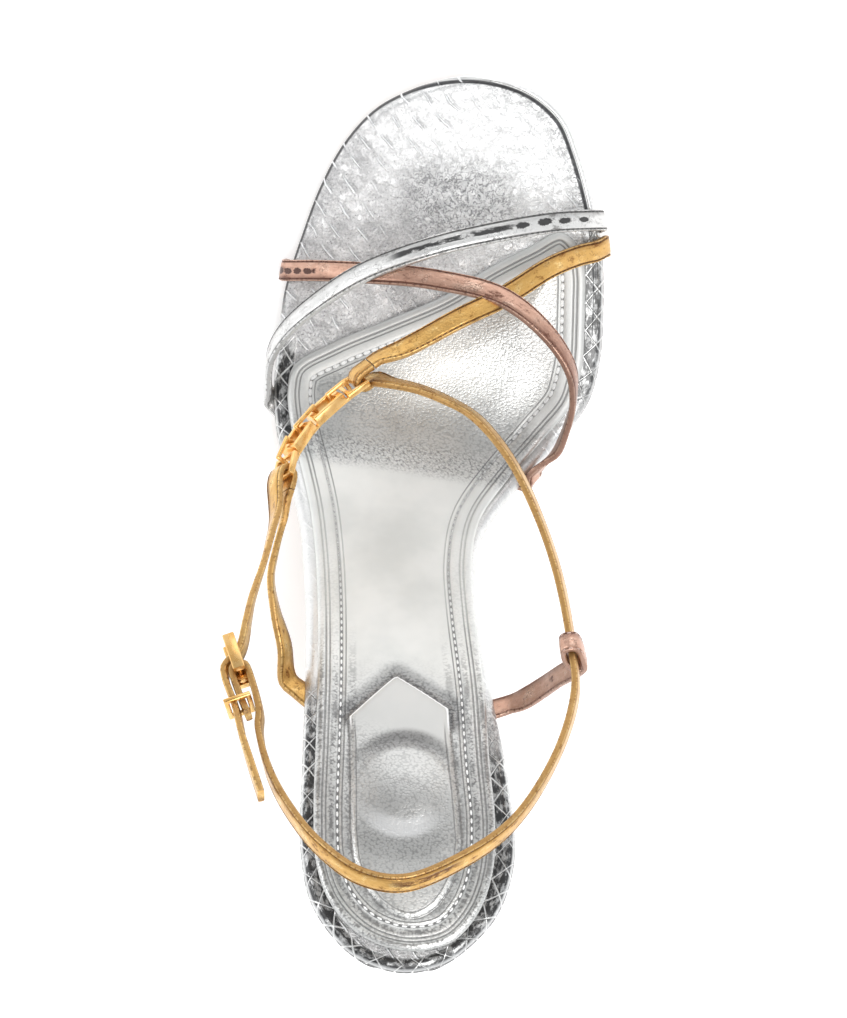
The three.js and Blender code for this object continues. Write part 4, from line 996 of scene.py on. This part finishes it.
def dressed(node, name, width, segments=2, flat=True):
    """Copy of a hard piece, its faces cleaned and its edges eased"""
    piece = bpy.data.objects.new(name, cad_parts[node].data.copy())
    bpy.context.collection.objects.link(piece)
    piece.data.name = name
    piece.data.materials.clear()
    edit(piece)
    bpy.ops.mesh.remove_doubles(threshold=2e-6)
    if flat:
        bpy.ops.mesh.dissolve_limited(angle_limit=math.radians(0.5))
    close_edit()
    add_bevel(piece, width, segments)
    finish_modifiers(piece)
    smooth(piece, SMOOTH_ANGLE)
    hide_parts(node)
    return piece


leather_sole = dressed("outsole", "leather_sole", 0.25, flat=False)
METAL = [dressed(node, name, width) for node, name, width in (
    ("buckle_frame", "buckle_body", 0.16), ("buckle_prong", "buckle_tongue", 0.12),
    ("keeper", "keeper_loop", 0.16), ("front_ring", "front_end_ring", 0.16),
    ("chain_link_front", "front_box_link", 0.22), ("chain_link_rear", "rear_box_link", 0.22),
    ("rear_ring", "rear_end_ring", 0.16), ("jump_ring_1", "front_jump_ring", 0.14),
    ("jump_ring_2", "middle_jump_ring", 0.14), ("jump_ring_3", "rear_jump_ring", 0.14))]

PIECES = [insole_cover, padded_sock, silver_strap, rose_strap, gold_strap, ankle_strap,
          buckle_strap, lateral_anchor, medial_anchor, covered_heel, heel_tip, leather_sole]
PIECES += [sock_thread, front_thread, *THREADS.values(), *METAL]
for piece in PIECES:
    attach(piece, "root")


# Materials

def srgb(red, green, blue):
    """Screen colour of 0 to 255 as linear light"""
    return tuple(((c / 255 + 0.055) / 1.055) ** 2.4 if c > 10 else c / 3294.6
                 for c in (red, green, blue)) + (1,)


class Wire:
    """Socket of a shader node; arithmetic on it adds Math nodes"""

    def __init__(self, maker, socket):
        self.maker, self.socket = maker, socket

    def math(self, operation, *others):
        return self.maker.math(operation, self, *others)

    def __add__(self, other):
        return self.math("ADD", other)

    __radd__ = __add__

    def __mul__(self, other):
        return self.math("MULTIPLY", other)

    def __sub__(self, other):
        return self.math("SUBTRACT", other)

    def __rsub__(self, other):
        return self.maker.math("SUBTRACT", other, self)

    def __truediv__(self, other):
        return self.math("DIVIDE", other)

    def __pow__(self, other):
        return self.math("POWER", other)

    def __abs__(self):
        return self.math("ABSOLUTE")


class Maker:
    """Nodes of one material"""

    def __init__(self, name):
        self.material = bpy.data.materials.new(name)
        self.material.use_nodes = True
        self.tree = self.material.node_tree
        self.shader = self.tree.nodes["Principled BSDF"]

    def node(self, kind, settings=(), inputs=(), output=0):
        node = self.tree.nodes.new(kind)
        for key, value in dict(settings).items():
            setattr(node, key, value)
        for key, value in dict(inputs).items():
            self.feed(node.inputs[key], value)
        return Wire(self, node.outputs[output])

    def feed(self, socket, value):
        if isinstance(value, Wire):
            self.tree.links.new(value.socket, socket)
        else:
            socket.default_value = value

    def math(self, operation, *values):
        return self.node("ShaderNodeMath", {"operation": operation}, enumerate(values))

    def vector(self, operation, *values, output=0):
        return self.node("ShaderNodeVectorMath", {"operation": operation},
                         enumerate(values), output)

    def millimetres(self, kind, settings, output):
        scaled = self.vector("SCALE", self.node(kind, settings, output=output))
        self.feed(scaled.socket.node.inputs["Scale"], 1 / MM)
        return scaled

    def chart(self, name):
        """Vector of a vertex chart and its three values, in millimetres"""
        scaled = self.millimetres("ShaderNodeAttribute", {"attribute_name": name}, "Vector")
        return [scaled] + self.split(scaled)

    def place(self):
        """Place in the piece, in millimetres"""
        return self.millimetres("ShaderNodeTexCoord", (), "Object")

    def split(self, vector):
        return [self.node("ShaderNodeSeparateXYZ", inputs={0: vector}, output=k) for k in range(3)]

    def join(self, x, y, z=0.0):
        return self.node("ShaderNodeCombineXYZ", inputs={0: x, 1: y, 2: z})

    def noise(self, vector, size, detail=2.0, roughness=0.5, distortion=0.0):
        """Noise with features of a size in millimetres"""
        return self.node("ShaderNodeTexNoise", inputs={
            "Vector": vector, "Scale": 1 / size, "Detail": detail, "Roughness": roughness,
            "Distortion": distortion})

    def cells(self, vector, size, feature="F1", output="Distance", randomness=1.0):
        return self.node("ShaderNodeTexVoronoi", {"feature": feature}, {
            "Vector": vector, "Scale": 1 / size, "Randomness": randomness}, output)

    def step(self, value, low, high, start=0.0, end=1.0):
        """Soft step of a value between two limits"""
        return self.node("ShaderNodeMapRange", {"interpolation_type": "SMOOTHSTEP"}, {
            "Value": value, "From Min": low, "From Max": high, "To Min": start, "To Max": end})

    def band(self, value, centre, width):
        """1 on a line, falling softly to 0 at a distance from it"""
        return self.step(abs(value - centre), width, width * 0.35)

    def within(self, value, span, outside, inside):
        """1 between two limits, falling to 0 from a distance inside them to one outside"""
        half = (span[1] - span[0]) / 2
        return self.step(abs(value - sum(span) / 2), half + outside, half - inside)

    def reach(self, x, y):
        """Distance of a flat place from the origin"""
        return self.math("SQRT", x ** 2.0 + y ** 2.0)

    def centred(self, value):
        """Place in a repeat of length 1, from its middle"""
        return value - self.math("FLOOR", value) - 0.5

    def most(self, first, *others):
        """Greatest of some values"""
        for other in others:
            first = self.math("MAXIMUM", first, other)
        return first

    def blend(self, factor, first, second):
        return self.node("ShaderNodeMix", {"data_type": "RGBA"},
                         {0: factor, 6: first, 7: second}, 2)

    def shade(self, factor, low, high, first, second):
        """Colour between two, by a value"""
        return self.blend(self.step(factor, low, high), first, second)

    def finish(self, height=None, strength=1.0, **inputs):
        """Bump height is in millimetres"""
        for key, value in inputs.items():
            self.feed(self.shader.inputs[key.replace("_", " ")], value)
        if height is not None:
            bump = self.node("ShaderNodeBump", inputs={
                "Strength": strength, "Distance": MM, "Height": height})
            self.feed(self.shader.inputs["Normal"], bump)
        return self.material


def wear(piece, material):
    piece.data.materials.clear()
    piece.data.materials.append(material)


# Run before a strap's start, for what a strap hasn't got
NOWHERE = (-20, -10)


def strap_material(name, light, middle, dark, scale_and_shadow_dark, scales=(*NOWHERE, 4, 1),
                   streak_and_shadow_run=NOWHERE, shaded_run=NOWHERE):
    """Metallic strap leather: fine grain, streaky foil, pricked seams and embossed scales.

    Scales are given as the runs where they start and end, their pitch and half their length;
    the streak runs are where a dark streak takes their place, on the ankle strap a painted
    shadow, and the shaded runs are where shade is painted over the foil. Folded edges get a
    painted highlight; one side of the face, the flanks, the puckers and the seams get painted
    shade."""
    first, last, pitch, half = scales
    m = Maker(name)
    chart, run, across, out = m.chart("strap_chart")
    place = m.place()
    streak = m.noise(m.vector("MULTIPLY", chart, (0.4, 1.1, 1.0)), 1.5, 5.0, 0.65)
    cloud = m.noise(place, 5.0, 3.0, 0.6)
    fine = m.noise(place, 0.4, 3.0, 0.6)
    grain = m.cells(place, 0.55)
    tone = streak * 0.5 + cloud * 0.35 + fine * 0.15
    colour = m.shade(tone, 0.36, 0.47, dark, middle)
    colour = m.blend(m.step(tone, 0.5, 0.66), colour, light)
    crease = abs(m.noise(m.vector("ADD", chart, (40.0, 9.0, 0.0)), 2.4, 4.0, 0.7) - 0.5)
    crumple = m.step(crease, 0.02, 0.0) * m.step(cloud, 0.5, 0.62)
    colour = m.blend(crumple * 0.7, colour, dark)
    # Painted shade over a stretch of the strap, darker where the streak noise is dark
    shaded = m.within(run, shaded_run, 4, 4)
    shaded = shaded * m.step(streak + (across + 1.5) * 0.05, 0.3, 0.75)
    colour = m.blend(shaded * 0.75, colour, dark)
    # Painted shade darkening one side of the strap's face
    painted_lee_shade = m.step(across + (cloud - 0.5) * 1.6, 0.4, 2.0)
    colour = m.blend(painted_lee_shade * 0.5, colour, dark)
    # Painted highlight along the folded edges
    edge = m.step(abs(across), 2.1, 2.4)
    colour = m.blend(edge * 0.35, colour, light)
    # Painted shade in the puckers along the edges
    puckers = m.noise(m.vector("MULTIPLY", chart, (1.0, 0.3, 0.3)), 0.8, 3.0, 0.7)
    pucker_shade = m.step(abs(across), 1.75, 2.1) * m.step(abs(out), 0.15, 0.5)
    colour = m.blend(pucker_shade * m.step(puckers, 0.5, 0.62) * 0.75, colour, dark)
    # Painted shade on the strap's sides; the same mask roughens them
    shaded_flank = m.step(abs(out), 0.62, 0.3) * m.step(abs(across), 2.3, 2.5)
    colour = m.blend(shaded_flank * 0.5, colour, dark)
    # Painted shade in the sunk seams
    seam = m.band(abs(across), SEAM_ACROSS * STRAP_WIDTH / 2, 0.3)
    colour = m.blend(seam * 0.5, colour, dark)
    cell = m.centred(run / pitch) * pitch
    wobble = (m.noise(place, 3.0, 2.0) - 0.5) * 0.5
    oval = m.reach(cell / half, (across - 0.2 + wobble) / 0.85)
    oval = oval + (fine - 0.5) * 0.7 + (cloud - 0.5) * 1.2
    face = m.step(out, 0.1, 0.4)
    scale = m.step(oval, 1.05, 0.8) * m.within(run, (first, last), 0.6, 0) * face
    # Dark streak where the scales stop; on the ankle strap it is a painted shadow over the lower
    # part of its face
    streak_and_shadow = m.within(run, streak_and_shadow_run, 3, 3) * face
    streak_and_shadow = streak_and_shadow * m.step(abs(across - 0.35 + wobble * 1.6), 0.95, 0.5) * m.step(streak, 0.36, 0.5)
    scale = m.most(scale, streak_and_shadow)
    colour = m.blend(scale * 0.92, colour, scale_and_shadow_dark)
    height = fine * 0.05 - grain * 0.05 + streak * 0.06 - seam * 0.2 - scale * 0.12 - crumple * 0.1
    return m.finish(height, Base_Color=colour, Metallic=0.8,
                    Roughness=m.step(tone, 0.35, 0.65, 0.42, 0.26) + shaded_flank * 0.12,
                    Coat_Weight=0.1, Coat_Roughness=0.2)


# Repeats of the embossed leather: ridges over the toes and lozenges on the rim
RIDGE_LENGTH = 7.4
RIDGE_PITCH = 4.6
LOZENGE_WIDTH = 6.9
LOZENGE_HEIGHT = 5.4
LOZENGE_INSET = 1.55

# Greys that recur on the silver leathers
CREASE_GREY = srgb(84, 84, 86)
SEAT_SHADOW = srgb(84, 82, 82)
RIDGE_WHITE = srgb(250, 250, 250)


def silver_skin():
    """Crinkled silver foil of the insole cover: short slanting scale ridges over the toes, dark
    lozenges on the rim and a dark groove inside the toe's rand"""
    m = Maker("silver_snakeskin")
    flat, across, length, lift = m.chart("flat")
    rim, run, distance, _ = m.chart("rim")
    warp = m.noise(flat, 11.0, 2.0) - 0.5
    warp2 = m.noise(m.vector("ADD", flat, (31.0, 17.0, 5.0)), 9.0, 2.0) - 0.5
    s = across * 0.64 - length * 0.77 + warp * 5.0
    t = across * 0.77 + length * 0.64 + warp2 * 3.0
    row = m.math("FLOOR", t / RIDGE_PITCH)
    s_cell = m.centred(s / RIDGE_LENGTH + row * 0.46) * RIDGE_LENGTH
    t_cell = m.centred(t / RIDGE_PITCH) * RIDGE_PITCH
    patch = m.noise(m.vector("ADD", flat, (7.0, 3.0, 0.0)), 15.0, 2.0)
    left = m.step(distance, 24.0, 4.0) * m.step(across, 8.0, -8.0)
    behind = m.step(length, 180.0, 170.0)
    strength = m.step(patch + m.most(left, behind) * 0.35, 0.42, 0.85)
    ridge_line = m.step(abs(t_cell), 0.34, 0.08) * m.step(abs(s_cell), 2.9, 1.2) * strength
    hollow_shade = m.band(t_cell, 0.6, 0.5) * m.step(abs(s_cell), 2.9, 1.2) * strength
    crease = abs(m.noise(flat, 2.3, 5.0, 0.68, 0.6) - 0.5)
    fine = m.noise(flat, 0.6, 5.0, 0.7)
    broad = m.noise(flat, 6.0, 3.0)
    foil = m.step(crease, 0.0, 0.13)
    colour = m.shade(fine + (broad - 0.5) * 0.6, 0.3, 0.7, srgb(170, 169, 169), srgb(226, 225, 224))
    # Painted highlight over the medial front of the toe
    painted_toe_highlight = m.step(across * 0.8 + length * 0.6 + warp * 10.0, 106.0, 136.0) * m.step(
        length, 176.0, 190.0)
    colour = m.blend(painted_toe_highlight * 0.6, colour, srgb(246, 246, 245))
    colour = m.blend((1 - foil) * 0.2, colour, srgb(110, 110, 111))
    scratch_zone = m.step(distance, 9.0, 2.0) * m.step(across, 4.0, 16.0)
    scratch = m.step(crease, 0.05, 0.01) * scratch_zone * m.step(fine, 0.4, 0.55)
    colour = m.blend(scratch * 0.8, colour, srgb(60, 60, 62))
    crackle = m.step(m.reach((across - 3.0) / 17.0, (length - 208.0) / 15.0)
                     + (patch - 0.5) * 0.9, 1.1, 0.4)
    creases = m.step(abs(m.noise(flat, 1.5, 4.0, 0.62, 0.8) - 0.5), 0.05, 0.01)
    colour = m.blend(crackle * creases * 0.75, colour, CREASE_GREY)
    colour = m.blend(crackle * m.step(broad, 0.5, 0.7) * 0.4, colour, srgb(128, 128, 129))
    # Painted shade in the hollow beside each ridge
    colour = m.blend(hollow_shade * 0.34, colour, srgb(136, 136, 137))
    colour = m.blend(ridge_line * 0.9, colour, RIDGE_WHITE)
    toe = m.step(length, 176.0, 186.0)
    line_at = m.step(across, -14.0, 20.0, 0.0, 1.95)
    edge_line = m.step(abs(distance - line_at), 0.75, 0.45) * toe
    edge_line = edge_line * m.step(ridge_line, 0.5, 0.2)
    colour = m.blend(edge_line * 0.92, colour, srgb(40, 40, 42))
    rand = m.step(distance, line_at, line_at - 0.4) * toe
    colour = m.blend(rand * 0.7, colour, srgb(232, 232, 230))
    u = run / LOZENGE_WIDTH
    v = (distance - LOZENGE_INSET) / LOZENGE_HEIGHT
    net = m.most(abs(m.centred(u + v)), abs(m.centred(u - v))) + (fine - 0.5) * 0.05
    lozenge = m.step(net + (warp + warp2) * 0.08, 0.485, 0.44)
    back = m.step(length + across * 0.25, 70.0, 56.0)
    medial_front = m.step(abs(length - 183.0), 24.0, 17.0) * m.step(across, 20.0, 26.0)
    lateral_ball = m.step(abs(length - 160.0), 15.0, 9.0) * m.step(across, -26.0, -30.0)
    zone = m.most(back, medial_front * 0.9, lateral_ball)
    wide = m.step(length, 6.0, 20.0, 2.6, 4.2)
    on_rim = m.step(distance, wide + 0.6, wide) * zone * m.step(lift, -4.1, -3.6)
    waist = m.step(length, 172.0, 150.0) * m.step(distance, 5.0, 4.0)
    waist = waist * m.step(length, 62.0, 76.0) * (1 - zone)
    colour = m.blend(waist * 0.75, colour, srgb(226, 226, 224))
    colour = m.blend(on_rim * 0.8, colour, srgb(224, 224, 222))
    # Painted glints: the noise lightens the dark lozenges in flecks
    painted_glint = m.noise(m.vector("MULTIPLY", rim, (0.5, 1.0, 1.0)), 1.6, 4.0, 0.7)
    patches = m.shade(painted_glint, 0.46, 0.62, srgb(40, 40, 41), srgb(176, 176, 175))
    colour = m.blend(lozenge * on_rim * 0.95, colour, patches)
    outer = m.band(distance, 0.0, 0.9) * zone * m.step(lift, -1.6, -1.2)
    colour = m.blend(outer * 0.7, colour, srgb(230, 230, 229))
    under = m.step(lift, -3.2, -4.0)
    colour = m.blend(under * 0.5, colour, srgb(120, 112, 104))
    smooth_part = m.most(rand, on_rim, waist)
    height = (ridge_line * 0.26 - hollow_shade * 0.06 + foil * 0.09 + fine * 0.11 + crackle * fine * 0.2
              + broad * 0.16)
    height = height * (1 - smooth_part * 0.85) - edge_line * 0.35 + lozenge * on_rim * 0.3
    pillow = across * across * -0.0012
    return m.finish(height + pillow, Base_Color=colour, Metallic=0.9,
                    Roughness=m.step(fine, 0.3, 0.7, 0.26, 0.42), Coat_Weight=0.1,
                    Coat_Roughness=0.2)


def silver_nappa():
    """Silver leather of the padded sock: pebbled over the ball and the seat, plain in the arch"""
    m = Maker("silver_sock_leather")
    flat, across, length, _ = m.chart("flat")
    *_, distance, inside = m.chart("rim")
    soft = m.noise(flat, 14.0, 3.0, 0.55)
    warp_u = m.noise(flat, 2.5, 2.0)
    warp_v = m.noise(m.vector("ADD", flat, (13.0, 5.0, 0.0)), 2.5, 2.0)
    ball = m.step(length + across * 0.12 + (soft - 0.5) * 3, 137.0, 141.5)
    smooth_panel = m.step(inside, -0.3, 0.4) * m.step(length + across * 0.25, 52.0, 60.0)
    seat = m.step(length + (soft - 0.5) * 16.0, 82.0, 62.0) * (1 - smooth_panel)
    border = m.step(distance, 5.4, 4.8)
    near_crease = m.band(length + across * 0.12, 142.0, 7.5)
    front = m.step(length, 150.0, 158.0) * m.step(distance, 7.4, 6.8)
    grained = m.most(ball * (1 - front * 0.85), seat, border * 0.35 * m.step(length, 130.0, 96.0))
    skewed = m.vector("MULTIPLY", m.vector("ADD", flat, m.join(
        warp_u * 0.9, warp_v * 0.9, 0.0)), (0.9, 1.15, 1.0))
    pebble = m.cells(skewed, 0.6)
    pebble_fine = m.cells(flat, 0.45)
    pit = m.step(pebble, 0.4, 0.8)
    # Painted highlight in the middle of the ball; outside it the ball is darkened, and its pebble
    # pits less so inside it
    painted_ball_highlight = m.step(m.reach((across - 2.0) / 22.0, (length - 166.0) / 13.0)
                  + (soft - 0.5) * 0.6, 1.1, 0.3)
    colour = m.shade(soft, 0.3, 0.7, srgb(214, 215, 212), srgb(228, 228, 225))
    colour = m.blend(seat * m.step(length, 10.0, 40.0, 0.12, 0.5), colour, srgb(166, 164, 162))
    colour = m.blend(ball * (1 - painted_ball_highlight) * 0.4, colour, srgb(164, 164, 163))
    colour = m.blend(smooth_panel * 0.5, colour, srgb(192, 191, 189))
    # Painted shade in the pebble pits
    colour = m.blend(grained * (1 - painted_ball_highlight * 0.7) * pit * 0.3, colour, srgb(98, 98, 99))
    dashes = m.noise(m.vector("MULTIPLY", m.join(across + length, length - across), (
        1.0, 0.5, 1.0)), 0.65, 2.0, 0.5)
    colour = m.blend(near_crease * ball * m.step(dashes, 0.5, 0.62) * 0.5, colour,
                     CREASE_GREY)
    # Painted shade along the thin lines by the edge and in the sunk stitch channel, paler in the
    # arch and darker toward the heel and the toe
    thin = m.band(distance, 2.0, 0.3) + m.band(distance, 2.9, 0.26) + m.band(distance, 6.7, 0.22)
    pale_arch = m.band(length, 112.0, 30.0)
    colour = m.blend(thin * (0.62 - pale_arch * 0.34), colour, srgb(96, 96, 96))
    channel = m.band(distance, STITCH_INSET, 0.6)
    darker = m.step(length, 128.0, 96.0)
    toward_toe = m.step(length, 146.0, 152.0)
    colour = m.blend(channel * (0.35 + darker * 0.4 + toward_toe * 0.35 - pale_arch * 0.15), colour,
                     srgb(84, 84, 85))
    bands = (m.band(distance, 4.2, 0.9) + m.band(distance, 1.0, 0.8)
             + m.band(distance, 8.2, 1.3) * 0.7) * m.step(length, 92.0, 66.0)
    patchy = m.noise(flat, 5.0, 3.0, 0.6) + pit * 0.2
    colour = m.blend(bands * m.step(patchy, 0.4, 0.68) * 0.6, colour, srgb(88, 87, 87))
    upper = m.step(length, 57.0, 62.0)
    # Painted shade in the recess above the panel's chevron
    recess_shade = m.step(inside, -5.4, -0.6) * m.step(inside, 0.0, -0.2)
    colour = m.blend(recess_shade * upper * (0.6 + pit * 0.28), colour, srgb(72, 72, 74))
    # Painted highlight along the chevron's edge
    chevron_highlight = m.band(inside, 0.15, 0.3)
    colour = m.blend(chevron_highlight * upper, colour, RIDGE_WHITE)
    panel_line = (m.band(inside, -0.5, 0.35) + m.band(inside, 1.0, 0.25)) * (1 - upper)
    colour = m.blend(panel_line * 0.55, colour, srgb(104, 104, 104))
    # Painted shadow in rings round the dome's top and below it, and a painted highlight on the
    # dome's lower part
    from_dome = m.reach(across - DOME_PLACE[0], length - DOME_PLACE[1])
    shadow = m.band(from_dome, 12.6, 3.4) * m.step(length, 42.0, 54.0) * m.step(inside, 0.0, 1.0)
    middle = m.step(abs(across), 12.5, 3.0)
    colour = m.blend(shadow * (0.2 + middle * 0.4 + pit * 0.15), colour, SEAT_SHADOW)
    below_dome_shadow = m.band(from_dome, 15.2, 3.6) * m.step(length, 37.0, 30.0) * m.step(inside, 0.0, 1.0)
    colour = m.blend(below_dome_shadow * (0.15 + pit * 0.15), colour, SEAT_SHADOW)
    gleam = m.band(from_dome, 10.0, 3.2) * m.step(length, 40.0, 35.0) * middle
    colour = m.blend(gleam * 0.8, colour, srgb(238, 238, 237))
    height = (grained * (pit * -0.018 - pebble * 0.012 - pebble_fine * 0.01)
              - pebble_fine * 0.004 - thin * 0.12 - panel_line * 0.1)
    return m.finish(height, Base_Color=colour, Metallic=0.85,
                    Roughness=m.step(soft, 0.35, 0.65, 0.34, 0.4) + (1 - grained) * 0.22,
                    Coat_Weight=0.1, Coat_Roughness=0.25)


def heel_leather():
    """Silver cover of the heel, finely grained"""
    m = Maker("silver_heel_cover")
    place = m.place()
    soft = m.noise(place, 9.0, 3.0)
    grain = m.cells(place, 0.7)
    colour = m.shade(soft, 0.35, 0.65, srgb(176, 176, 177), srgb(204, 204, 203))
    return m.finish(grain * -0.03, Base_Color=colour, Metallic=0.85,
                    Roughness=m.step(soft, 0.3, 0.7, 0.28, 0.4))


def gold_metal():
    """Polished hardware with faint brushing and smudges"""
    m = Maker("gold_metal")
    place = m.place()
    smudge = m.noise(place, 3.0, 3.0)
    brush = m.noise(m.vector("MULTIPLY", place, (1.0, 9.0, 4.0)), 1.4, 3.0)
    colour = m.shade(smudge, 0.3, 0.7, srgb(228, 178, 106), srgb(240, 200, 136))
    return m.finish(brush * 0.008 + smudge * 0.01, Base_Color=colour, Metallic=1.0,
                    Roughness=m.step(smudge, 0.3, 0.7, 0.24, 0.32))


def sole_leather():
    m = Maker("sole_leather")
    place = m.place()
    fibre = m.noise(m.vector("MULTIPLY", place, (1.0, 0.35, 1.0)), 1.6, 5.0, 0.6)
    cloud = m.noise(place, 16.0, 2.0)
    colour = m.shade(fibre + (cloud - 0.5) * 0.5, 0.3, 0.75,
                     srgb(150, 118, 84), srgb(196, 164, 124))
    return m.finish(fibre * 0.06, Base_Color=colour,
                    Roughness=m.step(fibre, 0.3, 0.7, 0.5, 0.68))


def tip_rubber():
    m = Maker("top_piece_rubber")
    place = m.place()
    speck = m.noise(place, 0.6, 3.0)
    colour = m.shade(speck, 0.35, 0.7, srgb(38, 34, 32), srgb(66, 60, 56))
    return m.finish(speck * 0.05, Base_Color=colour, Roughness=m.step(speck, 0.3, 0.7, 0.6, 0.78))


def thread(name, colour, dark, shaded=None):
    """Twisted thread; "shaded" is the colour it takes along the arch"""
    m = Maker(name)
    place = m.place()
    twist = m.noise(place, 0.35, 2.0)
    tone = m.shade(twist, 0.35, 0.65, dark, colour)
    if shaded:
        arch = m.band(m.split(place)[1], -42.0, 36.0)
        tone = m.blend(arch * m.step(twist, 0.3, 0.5), tone, shaded)
    return m.finish(twist * 0.04, Base_Color=tone,
                    Roughness=m.step(twist, 0.3, 0.7, 0.5, 0.65))


ROSE = (srgb(222, 190, 170), srgb(196, 156, 136), srgb(112, 76, 62))
GOLD = (srgb(240, 208, 144), srgb(208, 164, 94), srgb(128, 82, 32))
SILVER = (srgb(242, 242, 240), srgb(216, 215, 213), srgb(120, 118, 116))

wear(insole_cover, silver_skin())
wear(padded_sock, silver_nappa())
wear(silver_strap, strap_material("silver_strap_leather", *SILVER, srgb(38, 37, 38),
                                  (19.5, 42, 5.9, 2.05), (40, 72)))
# Painted shade darkens the rose strap toward its medial end
wear(rose_strap, strap_material("rose_strap_leather", *ROSE, srgb(66, 44, 40),
                                (13, 27, 3.3, 1.5), shaded_run=(88, 124)))
wear(gold_strap, strap_material("gold_strap_leather", *GOLD, srgb(96, 66, 36)))
# The ankle strap's dark streak is a painted shadow, in this dark brown
wear(ankle_strap, strap_material("ankle_strap_gold", *GOLD, srgb(96, 54, 20),
                                 streak_and_shadow_run=(185, 201)))
gold_plain = strap_material("anchor_gold", *GOLD, srgb(110, 80, 46))
wear(buckle_strap, gold_plain)
wear(lateral_anchor, gold_plain)
wear(medial_anchor, strap_material("anchor_rose", *ROSE, srgb(86, 60, 54)))
wear(covered_heel, heel_leather())
wear(heel_tip, tip_rubber())
wear(leather_sole, sole_leather())
metal = gold_metal()
for piece in METAL:
    wear(piece, metal)
sock_floss = thread("sock_floss", srgb(246, 246, 244), srgb(214, 214, 212), srgb(158, 158, 158))
silver_floss = thread("silver_floss", srgb(110, 110, 110), srgb(60, 60, 60))
rose_floss = thread("rose_floss", srgb(130, 88, 74), srgb(84, 56, 48))
gold_floss = thread("gold_floss", srgb(112, 74, 34), srgb(70, 44, 20))
pale_floss = thread("pale_rose_floss", srgb(240, 220, 210), srgb(206, 176, 162))
wear(sock_thread, sock_floss)
wear(front_thread, sock_floss)
FLOSSES = {"silver_strap": silver_floss, "rose_strap": rose_floss, "medial_anchor": pale_floss}
for name, piece in THREADS.items():
    wear(piece, FLOSSES.get(name, gold_floss))


# Floor, light and camera

def make_floor():
    bpy.ops.mesh.primitive_plane_add(size=6)
    floor = new_piece("floor")
    edit(floor)
    bpy.ops.mesh.subdivide(number_cuts=4)
    bpy.ops.object.mode_set(mode="OBJECT")
    m = Maker("glowing_floor")
    place = m.place()
    cloud = m.noise(place, 260.0, 2.0)
    # The floor glows faintly: painted light that lifts the shadows round the shoe
    wear(floor, m.finish(Base_Color=m.shade(cloud, 0.3, 0.7, (0.86, 0.86, 0.86, 1),
                                            (0.9, 0.9, 0.9, 1)), Roughness=0.9,
                         Emission_Color=(1, 1, 1, 1), Emission_Strength=0.3))
    return floor


floor = make_floor()


def soft_light(name, place, target, size, power):
    """Rectangular lamp that looks at a target, in metres and watts"""
    light = bpy.data.lights.new(name, "AREA")
    light.shape = "RECTANGLE"
    light.size, light.size_y = size
    light.energy = power
    lamp = bpy.data.objects.new(name, light)
    bpy.context.collection.objects.link(lamp)
    lamp.location = place
    lamp.rotation_euler = (Vector(target) - Vector(place)).to_track_quat("-Z", "Y").to_euler()


for lamp in (("key_light", (0.75, -0.55, 2.3), (0, 0, 0), (2.0, 1.7), 52),
             ("fill_light", (-1.9, 0.3, 1.5), (0, 0, 0), (1.0, 1.4), 14),
             ("toe_light", (0.3, 2.3, 1.0), (0, 0, 0.04), (2.2, 1.0), 9)):
    soft_light(*lamp)


def make_world():
    """Studio surround: dim overhead and bright toward the horizon"""
    world = bpy.data.worlds.new("studio")
    bpy.context.scene.world = world
    world.use_nodes = True
    tree = world.node_tree
    place = tree.nodes.new("ShaderNodeTexCoord")
    split = tree.nodes.new("ShaderNodeSeparateXYZ")
    ramp = tree.nodes.new("ShaderNodeMapRange")
    ramp.interpolation_type = "SMOOTHSTEP"
    for key, value in {"From Min": 0.25, "From Max": 0.9, "To Min": 1.0, "To Max": 0.42}.items():
        ramp.inputs[key].default_value = value
    tree.links.new(place.outputs["Generated"], split.inputs[0])
    tree.links.new(split.outputs["Z"], ramp.inputs["Value"])
    tree.links.new(ramp.outputs[0], tree.nodes["Background"].inputs["Strength"])
    tree.nodes["Background"].inputs["Color"].default_value = (0.95, 0.97, 1.0, 1)
    bpy.context.scene.view_settings.view_transform = "Standard"


make_world()

CAMERA_PLACE = Vector((43.7, -23.7, 1800)) * MM
CAMERA_TARGET = Vector((0, -45, 40)) * MM
CAMERA_UP = Vector((-0.0593, 0.998, 0))
SENSOR_WIDTH = 36
LENS = 259.7


def make_camera():
    camera = bpy.data.cameras.new("camera")
    camera.sensor_width = SENSOR_WIDTH
    camera.lens = LENS
    holder = bpy.data.objects.new("camera", camera)
    bpy.context.collection.objects.link(holder)
    back = (CAMERA_PLACE - CAMERA_TARGET).normalized()
    right = CAMERA_UP.cross(back).normalized()
    turned = Matrix((right, back.cross(right), back)).transposed().to_4x4()
    holder.matrix_world = Matrix.Translation(CAMERA_PLACE) @ turned
    bpy.context.scene.camera = holder


make_camera()
